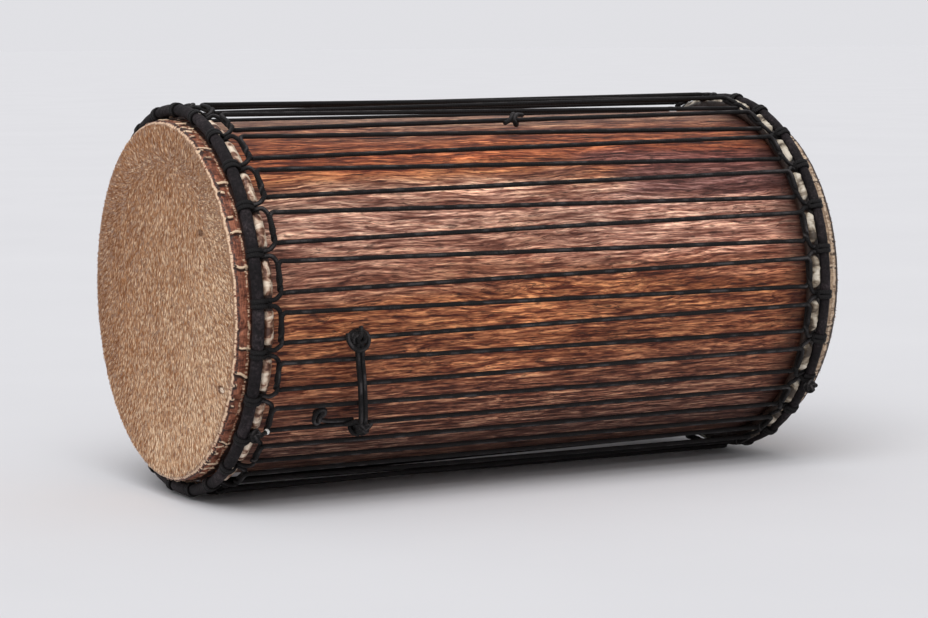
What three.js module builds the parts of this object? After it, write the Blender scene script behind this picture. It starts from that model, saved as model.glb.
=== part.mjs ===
// A rope-tuned drum with two skin heads on one wooden cylinder, lying on its side.
// Millimetres, +Z up. The drum's axis is along X: the near end is at -X and the far end at +X.
// At each end a steel hoop holds the skin, a cloth-covered ring presses on the hoop, a cord hitched
// round the ring carries a row of loops, and one long lacing pulls the loops of both ends together.
// A place on an end is given by its inset from the head, less the far head's draw, its radius, and how
// far it lies across from the middle of a hitch, measured round the drum at the rope's radius.

import * as THREE from 'three';

// Driving dimensions
const shellLength = 676;
const shellRadius = 172;
const shellWall = 14;
const hitchCount = 25;
const clearance = 0.3;

// Shell edges
const edgeRounding = 3.5;
const innerChamfer = 8;

// Skin heads and the hoops that hold them; the far head is drawn farther down the shell
const skinThickness = 1.6;
const hoopRodRadius = 3;
const hoopInset = 31.2;
const farDraw = 7;

// Cloth-covered rings
const ringRodRadius = 4;
const clothThickness = 1.4;
const clothSeam = 0.8;

// Rope, round where it is free and pressed flat where it grips
const ropeRadius = 2.3;
const pressedHalfThickness = 1.6;

// Hitches, and the runs between them: a run lies a drop from the hoop towards the middle of the drum,
// and a rise farther out than the ring
const turnSpread = 3.4;
const legSpread = 5.2;
const cornerSpread = 9;
const runDrop = 9.3;
const laceRise = 3;
const runSpread = 2.9;
const cornerBend = 3;
const swapLength = 10;
const swapLead = 5;
const crossbarStandoff = 1.2;
const turnLiftStandoff = 0.3;

// Knots: the radius of the cord drawn tight, and half the distance between its two strands
const tightRadius = 1.6;
const tightSpread = 1.9;
const tieTightRadius = 2.1;
const tieSpread = 2.6;
const tieKnotHalfSpan = 6.5;
const laceTightRadius = 1.5;
const laceSpread = 1.75;
const laceKnotHalfSpan = 3.5;

// Where the knots are: the near cradle's on a leg over the hoop, the far cradle's on a turn round the
// ring, each a shift towards the middle of the drum and a lift outwards from there
const nearKnotHitch = 9;
const nearKnotAcross = -9;
const nearKnotShift = -0.2;
const nearKnotLift = 7.8;
const farKnotHitch = 8;
const farKnotAcross = 4.5;
const farKnotShift = 2.3;
const farKnotLift = 4.4;
const laceKnotHitch = 2;
const laceKnotX = 10;
const laceEndGap = 1;
const tieUpperHitch = 7;
const tieUpperInset = 115.9;
const tieLowerHitch = 9;
const tieLowerInset = 137.9;
const tieEntryAngle = (40 * Math.PI) / 180;

// The loose tail's route from the middle of the lower tie knot, in rope diameters:
// towards the near head, up round the drum, and outwards
const tailRouteShares = [
  [1.8, 1.2, 0.3],
  [4.2, 1.2, 0.25],
  [6.4, 1.2, 0.2],
  [8.4, 1.5, 0.25],
  [9.6, 2.1, 0.35],
];
const tailKnotShares = [10.5, 3.35, 0.5];

// Sizes that follow
const headGap = clearance + skinThickness;
const halfLength = shellLength / 2 + headGap;
const foldInnerRadius = hoopRodRadius + clearance;
const foldRadius = foldInnerRadius + skinThickness;
const hoopRadius = shellRadius + clearance + foldRadius;
const clothInnerRadius = ringRodRadius + clearance;
const ringTubeRadius = clothInnerRadius + clothThickness;
const pressedRadius = ringTubeRadius + clearance + pressedHalfThickness;
const overHoopRadius = foldRadius + clearance + pressedHalfThickness;
const squeezeAngle = Math.PI / 6;
const ringInset = hoopInset - (pressedRadius + overHoopRadius) * Math.cos(squeezeAngle);
const ringRadius = hoopRadius + (pressedRadius + overHoopRadius) * Math.sin(squeezeAngle);
const runInset = hoopInset + runDrop;
const laceCircleRadius = ringRadius + laceRise;
const tieUpperX = tieUpperInset - halfLength;
const tieLowerX = tieLowerInset - halfLength;

// Round pieces have two flats for each hitch, so every hitch lies on an edge between flats
const flatCount = 2 * hitchCount;
const flatAngle = (2 * Math.PI) / flatCount;
const hitchAngle = (2 * Math.PI) / hitchCount;
const hitchPitch = hitchAngle * laceCircleRadius;

// The far end's hitches lie half a step round from the near end's
const nearEnd = { side: -1, turn: 0, draw: 0 };
const farEnd = { side: 1, turn: 0.5, draw: farDraw };

const materials = {
  wood: new THREE.MeshStandardMaterial({ color: 0x87472a, roughness: 0.55, metalness: 0 }),
  skin: new THREE.MeshStandardMaterial({ color: 0xc09a76, roughness: 0.85, metalness: 0 }),
  steel: new THREE.MeshStandardMaterial({ color: 0x84868a, roughness: 0.4, metalness: 1 }),
  cloth: new THREE.MeshStandardMaterial({ color: 0x1b1b1e, roughness: 0.95, metalness: 0 }),
  rope: new THREE.MeshStandardMaterial({ color: 0x131315, roughness: 0.7, metalness: 0 }),
};

const drum = new THREE.Group();

function addPiece(name, geometry, material) {
  const mesh = new THREE.Mesh(geometry, material.clone());
  mesh.name = name;
  drum.add(mesh);
}

function polar(radius, angle) {
  return [radius * Math.cos(angle), radius * Math.sin(angle)];
}

// How far in a round piece's flats lie at an angle, as a share of its radius
function flatShare(angle) {
  const local = THREE.MathUtils.euclideanModulo(angle, flatAngle);
  return Math.cos(flatAngle / 2) / Math.cos(local - flatAngle / 2);
}

function outward(angle) {
  return new THREE.Vector3(0, -Math.sin(angle), Math.cos(angle));
}

function place(x, radius, angle) {
  return outward(angle).multiplyScalar(radius * flatShare(angle)).setX(x);
}

// A piece turned about the drum's axis, from points of inset and radius at one end
function turned(points, side, closedOnItself) {
  const profile = points.map(([inset, radius]) => new THREE.Vector2(radius, side * (halfLength - inset)));
  if (closedOnItself) profile.push(profile[0].clone());
  if (side > 0) profile.reverse();
  const geometry = new THREE.LatheGeometry(profile, flatCount);
  geometry.rotateZ(-Math.PI / 2);
  return geometry;
}

// A cord swept through stops, each with a centre and the direction its top faces
function sweptCord(stops, section, closed = false) {
  const positions = [];
  const indices = [];
  const count = stops.length;
  const sides = section.length;
  const stopNumber = (i) => (closed ? (i + count) % count : THREE.MathUtils.clamp(i, 0, count - 1));
  const stopAt = (i) => stops[stopNumber(i)].centre;
  stops.forEach(({ centre, top }, i) => {
    const arriving = centre.clone().sub(stopAt(i - 1)).normalize();
    const leaving = stopAt(i + 1).clone().sub(centre).normalize();
    const along = arriving.add(leaving).normalize();
    const up = top.clone().addScaledVector(along, -top.dot(along)).normalize();
    const across = new THREE.Vector3().crossVectors(up, along);
    for (const [sideways, upwards] of section) {
      const corner = centre.clone().addScaledVector(across, sideways).addScaledVector(up, upwards);
      positions.push(corner.x, corner.y, corner.z);
    }
  });
  for (let i = 0; i < (closed ? count : count - 1); i++) {
    for (let k = 0; k < sides; k++) {
      const here = i * sides;
      const next = ((i + 1) % count) * sides;
      const other = (k + 1) % sides;
      indices.push(here + k, here + other, next + other, here + k, next + other, next + k);
    }
  }
  if (!closed) {
    const last = (count - 1) * sides;
    for (let k = 1; k < sides - 1; k++) {
      indices.push(0, k + 1, k, last, last + k, last + k + 1);
    }
  }
  const geometry = new THREE.BufferGeometry();
  geometry.setAttribute('position', new THREE.Float32BufferAttribute(positions, 3));
  geometry.setIndex(indices);
  return geometry;
}

function roundSection(radius, sides) {
  return Array.from({ length: sides }, (_, k) => polar(radius, (2 * Math.PI * (k + 0.25)) / sides));
}

const pressedSection = [
  [ropeRadius, 0],
  [0, pressedHalfThickness],
  [-ropeRadius, 0],
  [0, -pressedHalfThickness],
];

// Shell: a hollow cylinder, its mouths rounded outside and chamfered inside
function shellGeometry() {
  const halfEdge = edgeRounding * (1 - Math.SQRT1_2);
  const innerRadius = shellRadius - shellWall;
  const edge = [
    [headGap + innerChamfer, innerRadius],
    [headGap, innerRadius + innerChamfer / 2],
    [headGap, shellRadius - edgeRounding],
    [headGap + halfEdge, shellRadius - halfEdge],
    [headGap + edgeRounding, shellRadius],
  ];
  const farEdge = edge.map(([inset, radius]) => [2 * halfLength - inset, radius]).reverse();
  return turned([...edge, ...farEdge], -1, true);
}

// Skin head: the flat, the rounded edge, the collar down the shell and the fold round the hoop
function skinGeometry(end) {
  const edgeArc = (radius) =>
    [180, 135, 90].map((degrees) => {
      const [inset, height] = polar(radius, THREE.MathUtils.degToRad(degrees));
      return [headGap + edgeRounding + inset, shellRadius - edgeRounding + height];
    });
  const foldArc = (radius) =>
    [-90, -30, 30, 90, 150].map((degrees) => {
      const [inset, height] = polar(radius, THREE.MathUtils.degToRad(degrees));
      return [hoopInset + end.draw + inset, hoopRadius + height];
    });
  const outside = [[0, 0], ...edgeArc(edgeRounding + headGap), ...foldArc(foldInnerRadius)];
  const inside = [[skinThickness, 0], ...edgeArc(edgeRounding + clearance), ...foldArc(foldRadius)];
  return turned([...outside, ...inside.reverse()], end.side, false);
}

// Steel hoop in the fold, and steel ring in the cloth: rods bent round, with six flats
function rodRingGeometry(end, inset, radius, rodRadius) {
  const points = [270, 210, 150, 90, 30, -30].map((degrees) => {
    const [across, height] = polar(rodRadius, THREE.MathUtils.degToRad(degrees));
    return [inset + end.draw + across, radius + height];
  });
  return turned(points, end.side, true);
}

// Cloth sleeve round the ring, open along a seam that faces the skin
function clothGeometry(end) {
  const seamDegrees = THREE.MathUtils.radToDeg(clothSeam / 2 / clothInnerRadius);
  const arc = (radius) =>
    [-90 + seamDegrees, -30, 30, 90, 150, 210, 270 - seamDegrees].map((degrees) => {
      const [across, height] = polar(radius, THREE.MathUtils.degToRad(degrees));
      return [ringInset + end.draw + across, ringRadius + height];
    });
  return turned([...arc(ringTubeRadius).reverse(), ...arc(clothInnerRadius)], end.side, true);
}

// A stop on an end's cord; its top faces along [inset, radius]
function endStop(end, hitch, across, inset, radius, top = [0, 1]) {
  const angle = (hitch + end.turn) * hitchAngle + across / laceCircleRadius;
  return {
    centre: place(end.side * (halfLength - end.draw - inset), radius, angle),
    top: outward(angle).multiplyScalar(top[1]).setX(-end.side * top[0]),
  };
}

// A stop on a turn round the ring, at an angle in the ring's section
function turnStop(end, hitch, across, degrees, standoff) {
  const angle = THREE.MathUtils.degToRad(degrees);
  const [inset, height] = polar(pressedRadius + standoff, angle);
  const top = [-Math.cos(angle), -Math.sin(angle)];
  return endStop(end, hitch, across, ringInset + inset, ringRadius + height, top);
}

// The lacing and the cord's run wind half round each other before the second corner, so that each
// holds the other. The way of the run's pair of ropes is given in the section across it.
function swapStops(end, hitch, direction) {
  const steps = 3;
  const start = hitchPitch - cornerSpread - swapLead - swapLength;
  return Array.from({ length: steps + 1 }, (_, i) => {
    const turn = (Math.PI * i) / steps;
    const across = start + (swapLength * i) / steps;
    const inset = runInset - direction * runSpread * Math.sin(turn);
    const radius = laceCircleRadius + direction * runSpread * Math.cos(turn);
    return endStop(end, hitch, across, inset, radius);
  });
}

// One step of the cradle cord: in round the ring, across its own two legs, back round the ring, and
// out along the run to the next hitch
function cradleStep(end, hitch) {
  const squeezeInset = ringInset + pressedRadius * Math.cos(squeezeAngle);
  const squeezeRadius = ringRadius - pressedRadius * Math.sin(squeezeAngle);
  const squeezeTop = [-Math.sin(squeezeAngle), Math.cos(squeezeAngle)];
  const halfHitch = (hand) => [
    endStop(end, hitch, hand * legSpread, hoopInset, hoopRadius + overHoopRadius),
    endStop(end, hitch, hand * turnSpread, squeezeInset, squeezeRadius, squeezeTop),
    turnStop(end, hitch, hand * turnSpread, -90, 0),
    turnStop(end, hitch, hand * turnSpread, -150, 0),
    turnStop(end, hitch, hand * turnSpread, 150, 0),
    turnStop(end, hitch, hand * turnSpread, 90, 0),
    turnStop(end, hitch, hand * turnSpread, 35, turnLiftStandoff),
  ];
  return [
    ...halfHitch(-1),
    turnStop(end, hitch, 0, 20, crossbarStandoff),
    ...halfHitch(1).reverse(),
    endStop(end, hitch, cornerSpread, runInset, laceCircleRadius - runSpread),
    ...swapStops(end, hitch, -1),
    endStop(end, hitch, hitchPitch - cornerSpread, runInset, laceCircleRadius + runSpread),
  ];
}

// The whole cradle cord, from the stop after its knot round to the stop before it
function cradleGeometry(end, knotHitch, knotStop) {
  const stops = [];
  for (let i = 0; i < hitchCount; i++) {
    stops.push(...cradleStep(end, knotHitch + i));
  }
  const cut = [...stops.slice(knotStop), ...stops.slice(0, knotStop)];
  return sweptCord(cut, pressedSection);
}

// One loop of the lacing through a run: in over the cord, along it, and out under it
function laceLoop(end, hitch) {
  const over = laceCircleRadius + runSpread;
  const under = laceCircleRadius - runSpread;
  const lastCorner = hitchPitch - cornerSpread;
  return [
    endStop(end, hitch, cornerSpread, runInset + cornerBend, over),
    endStop(end, hitch, cornerSpread + cornerBend, runInset, over),
    ...swapStops(end, hitch, 1),
    endStop(end, hitch, lastCorner - cornerBend, runInset, under),
    endStop(end, hitch, lastCorner, runInset + cornerBend, under),
  ];
}

// A point on the straight rope between a near hitch's low or high side and a far hitch's other side
function straightRopePoint(nearHitch, farHitch, hand, x) {
  const inset = runInset + cornerBend;
  const nearRadius = laceCircleRadius + hand * runSpread;
  const farRadius = laceCircleRadius - hand * runSpread;
  const start = endStop(nearEnd, nearHitch, hand * cornerSpread, inset, nearRadius).centre;
  const end = endStop(farEnd, farHitch, -hand * cornerSpread, inset, farRadius).centre;
  return start.lerp(end, (x - start.x) / (end.x - start.x));
}

// A point on the straight rope that leaves a near hitch on its low side
function lowRopePoint(hitch, x) {
  return straightRopePoint(hitch, hitch - 1, -1, x);
}

// A point on the straight rope that leaves a near hitch on its high side
function highRopePoint(hitch, x) {
  return straightRopePoint(hitch, hitch, 1, x);
}

function angleOf(point) {
  return Math.atan2(-point.y, point.z);
}

function radiusOf(point) {
  return Math.hypot(point.y, point.z);
}

// The lacing, cut on one straight rope where its two ends meet in a knot
function laceGeometry() {
  const ropeStop = (x) => {
    const centre = lowRopePoint(laceKnotHitch, x);
    return { centre, top: outward(angleOf(centre)) };
  };
  const stops = [ropeStop(laceKnotX + laceEndGap / 2)];
  for (let i = 0; i < hitchCount; i++) {
    stops.push(...laceLoop(farEnd, laceKnotHitch - 1 + i), ...laceLoop(nearEnd, laceKnotHitch + i));
  }
  stops.push(ropeStop(laceKnotX - laceEndGap / 2));
  return sweptCord(stops, roundSection(ropeRadius, 5));
}

// A knot wound about an axis: its cord goes twice round while its strands swap three times
function knotGeometry(centre, axis, start, holeRadius, cordRadius, spread, halfSpan) {
  const stepCount = 24;
  const side = new THREE.Vector3().crossVectors(axis, start);
  const middleRadius = holeRadius + cordRadius + spread;
  const stops = Array.from({ length: stepCount }, (_, i) => {
    const share = (2 * Math.PI * i) / stepCount;
    const top = start.clone().multiplyScalar(Math.cos(2 * share));
    top.addScaledVector(side, Math.sin(2 * share));
    const stop = centre.clone().addScaledVector(top, middleRadius + spread * Math.cos(3 * share));
    stop.addScaledVector(axis, (halfSpan - cordRadius) * Math.sin(3 * share));
    return { centre: stop, top };
  });
  return sweptCord(stops, roundSection(cordRadius, 5), true);
}

// A knot round a straight rope, which passes through its hole
function knotOnRope(centre, cordRadius, spread, halfSpan) {
  const axis = new THREE.Vector3(1, 0, 0);
  const holeRadius = ropeRadius + 2 * clearance;
  return knotGeometry(centre, axis, outward(angleOf(centre)), holeRadius, cordRadius, spread, halfSpan);
}

// A knot with nothing through it, lying flat on the drum
function flatKnot(centre) {
  const axis = outward(angleOf(centre));
  const start = new THREE.Vector3(1, 0, 0);
  const halfSpan = tightSpread + tightRadius;
  return knotGeometry(centre, axis, start, clearance, tightRadius, tightSpread, halfSpan);
}

// The tie's middle line rests on the two high ropes between its knots
function tieLine() {
  const upper = lowRopePoint(tieUpperHitch, tieUpperX);
  const lower = lowRopePoint(tieLowerHitch, tieLowerX);
  const knotReach = ropeRadius + 2 * clearance + 2 * (tieSpread + tieTightRadius);
  const xAt = (angle) => {
    const share = (angle - angleOf(upper)) / (angleOf(lower) - angleOf(upper));
    return THREE.MathUtils.lerp(tieUpperX, tieLowerX, share);
  };
  const onRope = (hitch) => {
    const rope = highRopePoint(hitch, tieUpperX);
    return { angle: angleOf(rope), radius: radiusOf(rope) + 2 * ropeRadius + clearance };
  };
  const besideKnot = (knot, hand) => {
    const [away, height] = polar(knotReach + clearance + ropeRadius, tieEntryAngle);
    const radius = radiusOf(knot) + height;
    return { angle: angleOf(knot) + (hand * away) / radius, radius };
  };
  const crossings = [];
  for (let hitch = tieUpperHitch; hitch < tieLowerHitch; hitch++) {
    crossings.push(onRope(hitch));
  }
  const line = [besideKnot(upper, 1), ...crossings, besideKnot(lower, -1)];
  return line.map(({ angle, radius }) => ({ angle, radius, x: xAt(angle) }));
}

// The tie is one cord doubled: up one side, round a tight bend below the upper knot, down the other
function tieGeometry() {
  const halfGap = ropeRadius + clearance;
  const line = tieLine();
  const strandStop = ({ angle, radius, x }, sideways, along) => {
    const shifted = angle + along / radius;
    const centre = outward(shifted).multiplyScalar(radius).setX(x + sideways);
    return { centre, top: outward(shifted) };
  };
  const strand = (sideways) => line.slice(1).map((point) => strandStop(point, sideways, 0));
  const bend = [180, 135, 90, 45, 0].map((degrees) => {
    const [sideways, along] = polar(halfGap, THREE.MathUtils.degToRad(degrees));
    return strandStop(line[0], sideways, halfGap - along);
  });
  const stops = [...strand(-halfGap).reverse(), ...bend, ...strand(halfGap)];
  return sweptCord(stops, roundSection(ropeRadius, 5));
}

// A point near the lower tie knot, from its shares of a rope diameter
function tailPoint([along, up, out]) {
  const knot = lowRopePoint(tieLowerHitch, tieLowerX);
  const unit = 2 * ropeRadius;
  const rope = lowRopePoint(tieLowerHitch, tieLowerX - along * unit);
  const angle = angleOf(rope) - (up * unit) / radiusOf(knot);
  return outward(angle).multiplyScalar(radiusOf(rope) + out * unit).setX(rope.x);
}

function tailGeometry() {
  const outline = new THREE.Shape(roundSection(ropeRadius, 8).map(([x, y]) => new THREE.Vector2(x, y)));
  const route = new THREE.CatmullRomCurve3(tailRouteShares.map(tailPoint));
  return new THREE.ExtrudeGeometry(outline, { extrudePath: route, steps: 6, bevelEnabled: false });
}

addPiece('shell', shellGeometry(), materials.wood);

for (const [name, end] of [['near', nearEnd], ['far', farEnd]]) {
  addPiece(`${name}_head_skin`, skinGeometry(end), materials.skin);
  const hoop = rodRingGeometry(end, hoopInset, hoopRadius, hoopRodRadius);
  const ring = rodRingGeometry(end, ringInset, ringRadius, ringRodRadius);
  addPiece(`${name}_flesh_hoop`, hoop, materials.steel);
  addPiece(`${name}_crown_ring`, ring, materials.steel);
  addPiece(`${name}_ring_cloth`, clothGeometry(end), materials.cloth);
}

// The near knot hides the cord's ends before a hitch; the far knot hides them on a turn
const farKnotStop = 9;
addPiece('near_cradle_cord', cradleGeometry(nearEnd, nearKnotHitch, 0), materials.rope);
addPiece('far_cradle_cord', cradleGeometry(farEnd, farKnotHitch, farKnotStop), materials.rope);
addPiece('lacing_rope', laceGeometry(), materials.rope);

const nearKnotInset = hoopInset + nearKnotShift;
const nearKnotRadius = hoopRadius + overHoopRadius + nearKnotLift;
const farKnotInset = ringInset + farKnotShift;
const farKnotRadius = ringRadius + pressedRadius + farKnotLift;
const nearKnot = endStop(nearEnd, nearKnotHitch, nearKnotAcross, nearKnotInset, nearKnotRadius).centre;
const farKnot = endStop(farEnd, farKnotHitch, farKnotAcross, farKnotInset, farKnotRadius).centre;
const laceKnotMiddle = lowRopePoint(laceKnotHitch, laceKnotX);
const laceKnot = knotOnRope(laceKnotMiddle, laceTightRadius, laceSpread, laceKnotHalfSpan);
addPiece('near_cradle_knot', flatKnot(nearKnot), materials.rope);
addPiece('far_cradle_knot', flatKnot(farKnot), materials.rope);
addPiece('lacing_knot', laceKnot, materials.rope);

const tieKnotSpan = tieKnotHalfSpan + tieTightRadius;
const tieKnot = (middle) => knotOnRope(middle, tieTightRadius, tieSpread, tieKnotSpan);
addPiece('tie_upper_knot', tieKnot(lowRopePoint(tieUpperHitch, tieUpperX)), materials.rope);
addPiece('tie_lower_knot', tieKnot(lowRopePoint(tieLowerHitch, tieLowerX)), materials.rope);
addPiece('tie_cord', tieGeometry(), materials.rope);
addPiece('tie_tail', tailGeometry(), materials.rope);
addPiece('tie_tail_knot', flatKnot(tailPoint(tailKnotShares)), materials.rope);

// Stand the drum on the ground with the origin below its middle
const box = new THREE.Box3().setFromObject(drum);
const middle = box.getCenter(new THREE.Vector3());
drum.position.set(-middle.x, -middle.y, -box.min.z);

export default drum;
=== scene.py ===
"""A rope-tuned drum on its side: a hollowed log with a cowhide head at each end, laced from end to
end with black braided cord. Metres, +Z up; the drum's axis lies along X, near head at -X."""
import math

import bmesh
import bpy
import numpy as np
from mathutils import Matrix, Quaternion, Vector


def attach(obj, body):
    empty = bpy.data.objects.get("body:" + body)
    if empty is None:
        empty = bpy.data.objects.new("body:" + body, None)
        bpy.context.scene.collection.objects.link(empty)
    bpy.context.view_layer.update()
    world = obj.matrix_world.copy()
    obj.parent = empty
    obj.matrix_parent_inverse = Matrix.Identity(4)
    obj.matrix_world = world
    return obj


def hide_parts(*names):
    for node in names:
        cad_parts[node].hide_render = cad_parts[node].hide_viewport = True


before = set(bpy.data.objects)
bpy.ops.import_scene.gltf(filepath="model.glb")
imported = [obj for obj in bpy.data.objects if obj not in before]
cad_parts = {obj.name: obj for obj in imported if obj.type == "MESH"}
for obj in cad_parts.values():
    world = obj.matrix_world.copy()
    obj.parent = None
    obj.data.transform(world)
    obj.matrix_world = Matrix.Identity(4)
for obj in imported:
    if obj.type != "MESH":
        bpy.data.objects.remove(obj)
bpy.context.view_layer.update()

# The camera stands off the near end, a little above the drum, and looks along the shell with a long
# lens, so the near head shows as a narrow oval and the ropes run away to the right.
def placed(name, data):
    """An object with this data, put in the scene."""
    made = bpy.data.objects.new(name, data)
    bpy.context.scene.collection.objects.link(made)
    return made


camera = placed("camera", bpy.data.cameras.new("camera"))
camera.data.lens = 108.6
camera.data.sensor_width = 36
camera.data.clip_end = 60
looked_at = Vector((-0.0062, 0.0010, 0.1677))
turn, rise, distance = math.radians(-28.64), math.radians(5.75), 2.873
tilt = Quaternion((0, 0, 1), math.radians(-0.37))
level = math.cos(rise)
towards_camera = Vector((math.sin(turn) * level, -math.cos(turn) * level, math.sin(rise)))
camera.location = looked_at + towards_camera * distance
camera.rotation_euler = (towards_camera.to_track_quat("Z", "Y") @ tilt).to_euler()
bpy.context.scene.camera = camera

# The tie's loose end: the doubled cord's tail runs from the lower tie knot along one rope of the
# lacing and ends in a knot. It is 4.6 mm braided polyester cord, like all the cord on the drum.
cord_radius = 0.0023
axis_y, axis_z = 0.0010477, 0.1933795
knot_sides = 14
tail_route = np.array([
    (-0.21028, -0.151836, 0.086789), (-0.22132, -0.151498, 0.086895), (-0.23144, -0.151172, 0.087004),
    (-0.24064, -0.152027, 0.087989), (-0.24616, -0.153889, 0.090014),
])
tail_knot_middle = np.array((-0.2503, -0.157556, 0.0945))


def give(tree, node, inputs):
    """Gives each input of a node its value, or joins it to another node's output."""
    for socket, value in inputs.items():
        if isinstance(value, bpy.types.NodeSocket):
            tree.links.new(value, node.inputs[socket])
        else:
            node.inputs[socket].default_value = value


def add(tree, kind, inputs=None, **settings):
    """One node with its settings and inputs."""
    made = tree.nodes.new(kind)
    for setting, value in settings.items():
        setattr(made, setting, value)
    give(tree, made, inputs or {})
    return made


def maths(tree, operation, first, second=0.0):
    """One step of arithmetic on one value or two."""
    return add(tree, "ShaderNodeMath", {0: first, 1: second}, operation=operation).outputs[0]


def times(tree, first, second):
    return maths(tree, "MULTIPLY", first, second)


def plus(tree, first, second, share=None):
    """The first value and the second, or a share of the second, added up."""
    return maths(tree, "ADD", first, second if share is None else times(tree, second, share))


def centred(tree, noise, size):
    """Noise from 0 to 1, moved so that its middle is zero and made this large."""
    return times(tree, maths(tree, "SUBTRACT", noise, 0.5), size)


def bands(tree, value, *stops):
    """Colours along a value: each stop is a place from 0 to 1 and a linear red, green and blue."""
    ramp = add(tree, "ShaderNodeValToRGB", {"Fac": value})
    elements = ramp.color_ramp.elements
    while len(elements) < len(stops):
        elements.new(0.5)
    for element, (at, colour) in zip(elements, stops):
        element.position = at
        element.color = (*colour, 1)
    return ramp.outputs["Color"]


def vectors(tree, operation, first, second=(0.0, 0.0, 0.0)):
    """Two vectors worked on; a dot product and a length give a plain number."""
    made = add(tree, "ShaderNodeVectorMath", {0: first, 1: second}, operation=operation)
    return made.outputs["Value" if operation in ("DOT_PRODUCT", "LENGTH") else "Vector"]


def step_between(tree, value, low, high, at_low=0.0, at_high=1.0):
    """A value that goes from at_low to at_high, smoothly, while another goes from low to high."""
    inputs = {"Value": value, "From Min": low, "From Max": high, "To Min": at_low, "To Max": at_high}
    return add(tree, "ShaderNodeMapRange", inputs, interpolation_type="SMOOTHSTEP").outputs["Result"]


def blended(tree, share, first, second, how="MIX"):
    """Two colours mixed, or the second laid over the first in another way, by a share from 0 to 1."""
    inputs = {0: share, 6: first, 7: second}
    return add(tree, "ShaderNodeMix", inputs, data_type="RGBA", blend_type=how).outputs[2]


def mottled(tree, place, stretch, scale, detail=4.0, roughness=0.55, distortion=0.0):
    """Noise on a place that is stretched first, as grain, hair and stains are."""
    inputs = {"Vector": vectors(tree, "MULTIPLY", place, stretch), "Scale": scale, "Detail": detail,
              "Roughness": roughness, "Distortion": distortion}
    return add(tree, "ShaderNodeTexNoise", inputs).outputs["Fac"]


def place_on(tree):
    """Where a point is on the finished drum, which is what the patterns follow."""
    return add(tree, "ShaderNodeTexCoord").outputs["Object"]


def kept_value(tree, label, output="Fac"):
    """What was kept on the mesh's points under this name."""
    return add(tree, "ShaderNodeAttribute", attribute_name=label).outputs[output]


def new_finish(name):
    """A bare finish, with the node tree that its looks go into and its surface."""
    finish = bpy.data.materials.new(name)
    finish.use_nodes = True
    tree = finish.node_tree
    tree.nodes.clear()
    surface = add(tree, "ShaderNodeBsdfPrincipled")
    add(tree, "ShaderNodeOutputMaterial", {"Surface": surface.outputs[0]})
    return finish, tree, surface


def raised(tree, surface, height, strength, depth):
    """Fine relief: the highest places stand this deep above the lowest."""
    bump = add(tree, "ShaderNodeBump", {"Height": height, "Strength": strength, "Distance": depth})
    give(tree, surface, {"Normal": bump.outputs[0]})


def braided_finish(name, dark, light, worn_and_highlit, ridge):
    """Sixteen-carrier braid: diamonds where the strands of the two hands pass over each other."""
    finish, tree, surface = new_finish(name)
    round_it = kept_value(tree, "round_cord", "Vector")
    along = kept_value(tree, "along_cord")
    parts = add(tree, "ShaderNodeSeparateXYZ", {0: round_it}).outputs
    waves_round, waves_along = 5.0, 1700.0
    turned = times(tree, maths(tree, "ARCTAN2", parts[1], parts[0]), waves_round)
    pitch = times(tree, along, waves_along)
    left = maths(tree, "SINE", plus(tree, pitch, turned))
    right = maths(tree, "SINE", maths(tree, "SUBTRACT", pitch, turned))
    strand = step_between(tree, times(tree, left, right), -0.9, 0.5)
    coords = place_on(tree)
    dust = mottled(tree, coords, (1, 1, 1), 60.0)
    fuzz = mottled(tree, coords, (1, 1, 1), 2600.0, 2.0)
    # Painted shade: the braid's valleys between strands are darker, a little less so where the cord
    # is dusty.
    shade = times(tree, strand, step_between(tree, dust, 0.3, 0.75, 0.35, 1.0))
    crest = kept_value(tree, "crest")
    crest = plus(tree, crest, centred(tree, fuzz, 0.5))
    # The cord's outer side is paler where it is dusty: partly wear, partly a painted highlight.
    outermost, dusty = step_between(tree, crest, 0.72, 1.1), step_between(tree, dust, 0.45, 0.66)
    rubbed_and_highlit = times(tree, outermost, dusty)
    colour = blended(tree, rubbed_and_highlit, bands(tree, shade, (0.0, dark), (1.0, light)), worn_and_highlit)
    give(tree, surface, {"Base Color": colour, "Specular IOR Level": 0.2,
                         "Roughness": step_between(tree, dust, 0.3, 0.7, 0.5, 0.66)})
    raised(tree, surface, plus(tree, strand, fuzz, 0.35), 0.7, ridge)
    return finish


cord_finish = braided_finish("black_cord", dark=(0.0010, 0.0008, 0.0009),
                             light=(0.0125, 0.0102, 0.0105), worn_and_highlit=(0.080, 0.072, 0.073, 1),
                             ridge=0.0009)


def tree_with(name, *sockets, gives):
    """An empty geometry tree with named inputs, and what is given to it."""
    tree = bpy.data.node_groups.new(name, "GeometryNodeTree")
    for label, kind in sockets:
        tree.interface.new_socket(label, in_out="INPUT", socket_type="NodeSocket" + kind)
    tree.interface.new_socket(gives, in_out="OUTPUT", socket_type="NodeSocketGeometry")
    return tree, add(tree, "NodeGroupInput").outputs


def remembered(tree, label, kind="FLOAT_VECTOR"):
    """What was kept on the points under this name, inside a geometry tree."""
    return add(tree, "GeometryNodeInputNamedAttribute", {"Name": label}, data_type=kind).outputs[0]


def keeping(tree, geometry, label, value, kind="FLOAT_VECTOR"):
    """The same geometry, with a value kept on each point under this name."""
    inputs = {"Geometry": geometry, "Name": label, "Value": value}
    return add(tree, "GeometryNodeStoreNamedAttribute", inputs, data_type=kind).outputs[0]


def finished(tree, geometry, finish, gives):
    """Ends a geometry tree: one real mesh with its finish on."""
    real = add(tree, "GeometryNodeRealizeInstances", {"Geometry": geometry}).outputs[0]
    dressed = add(tree, "GeometryNodeSetMaterial", {"Geometry": real, "Material": finish}).outputs[0]
    add(tree, "NodeGroupOutput", {gives: dressed})


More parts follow.
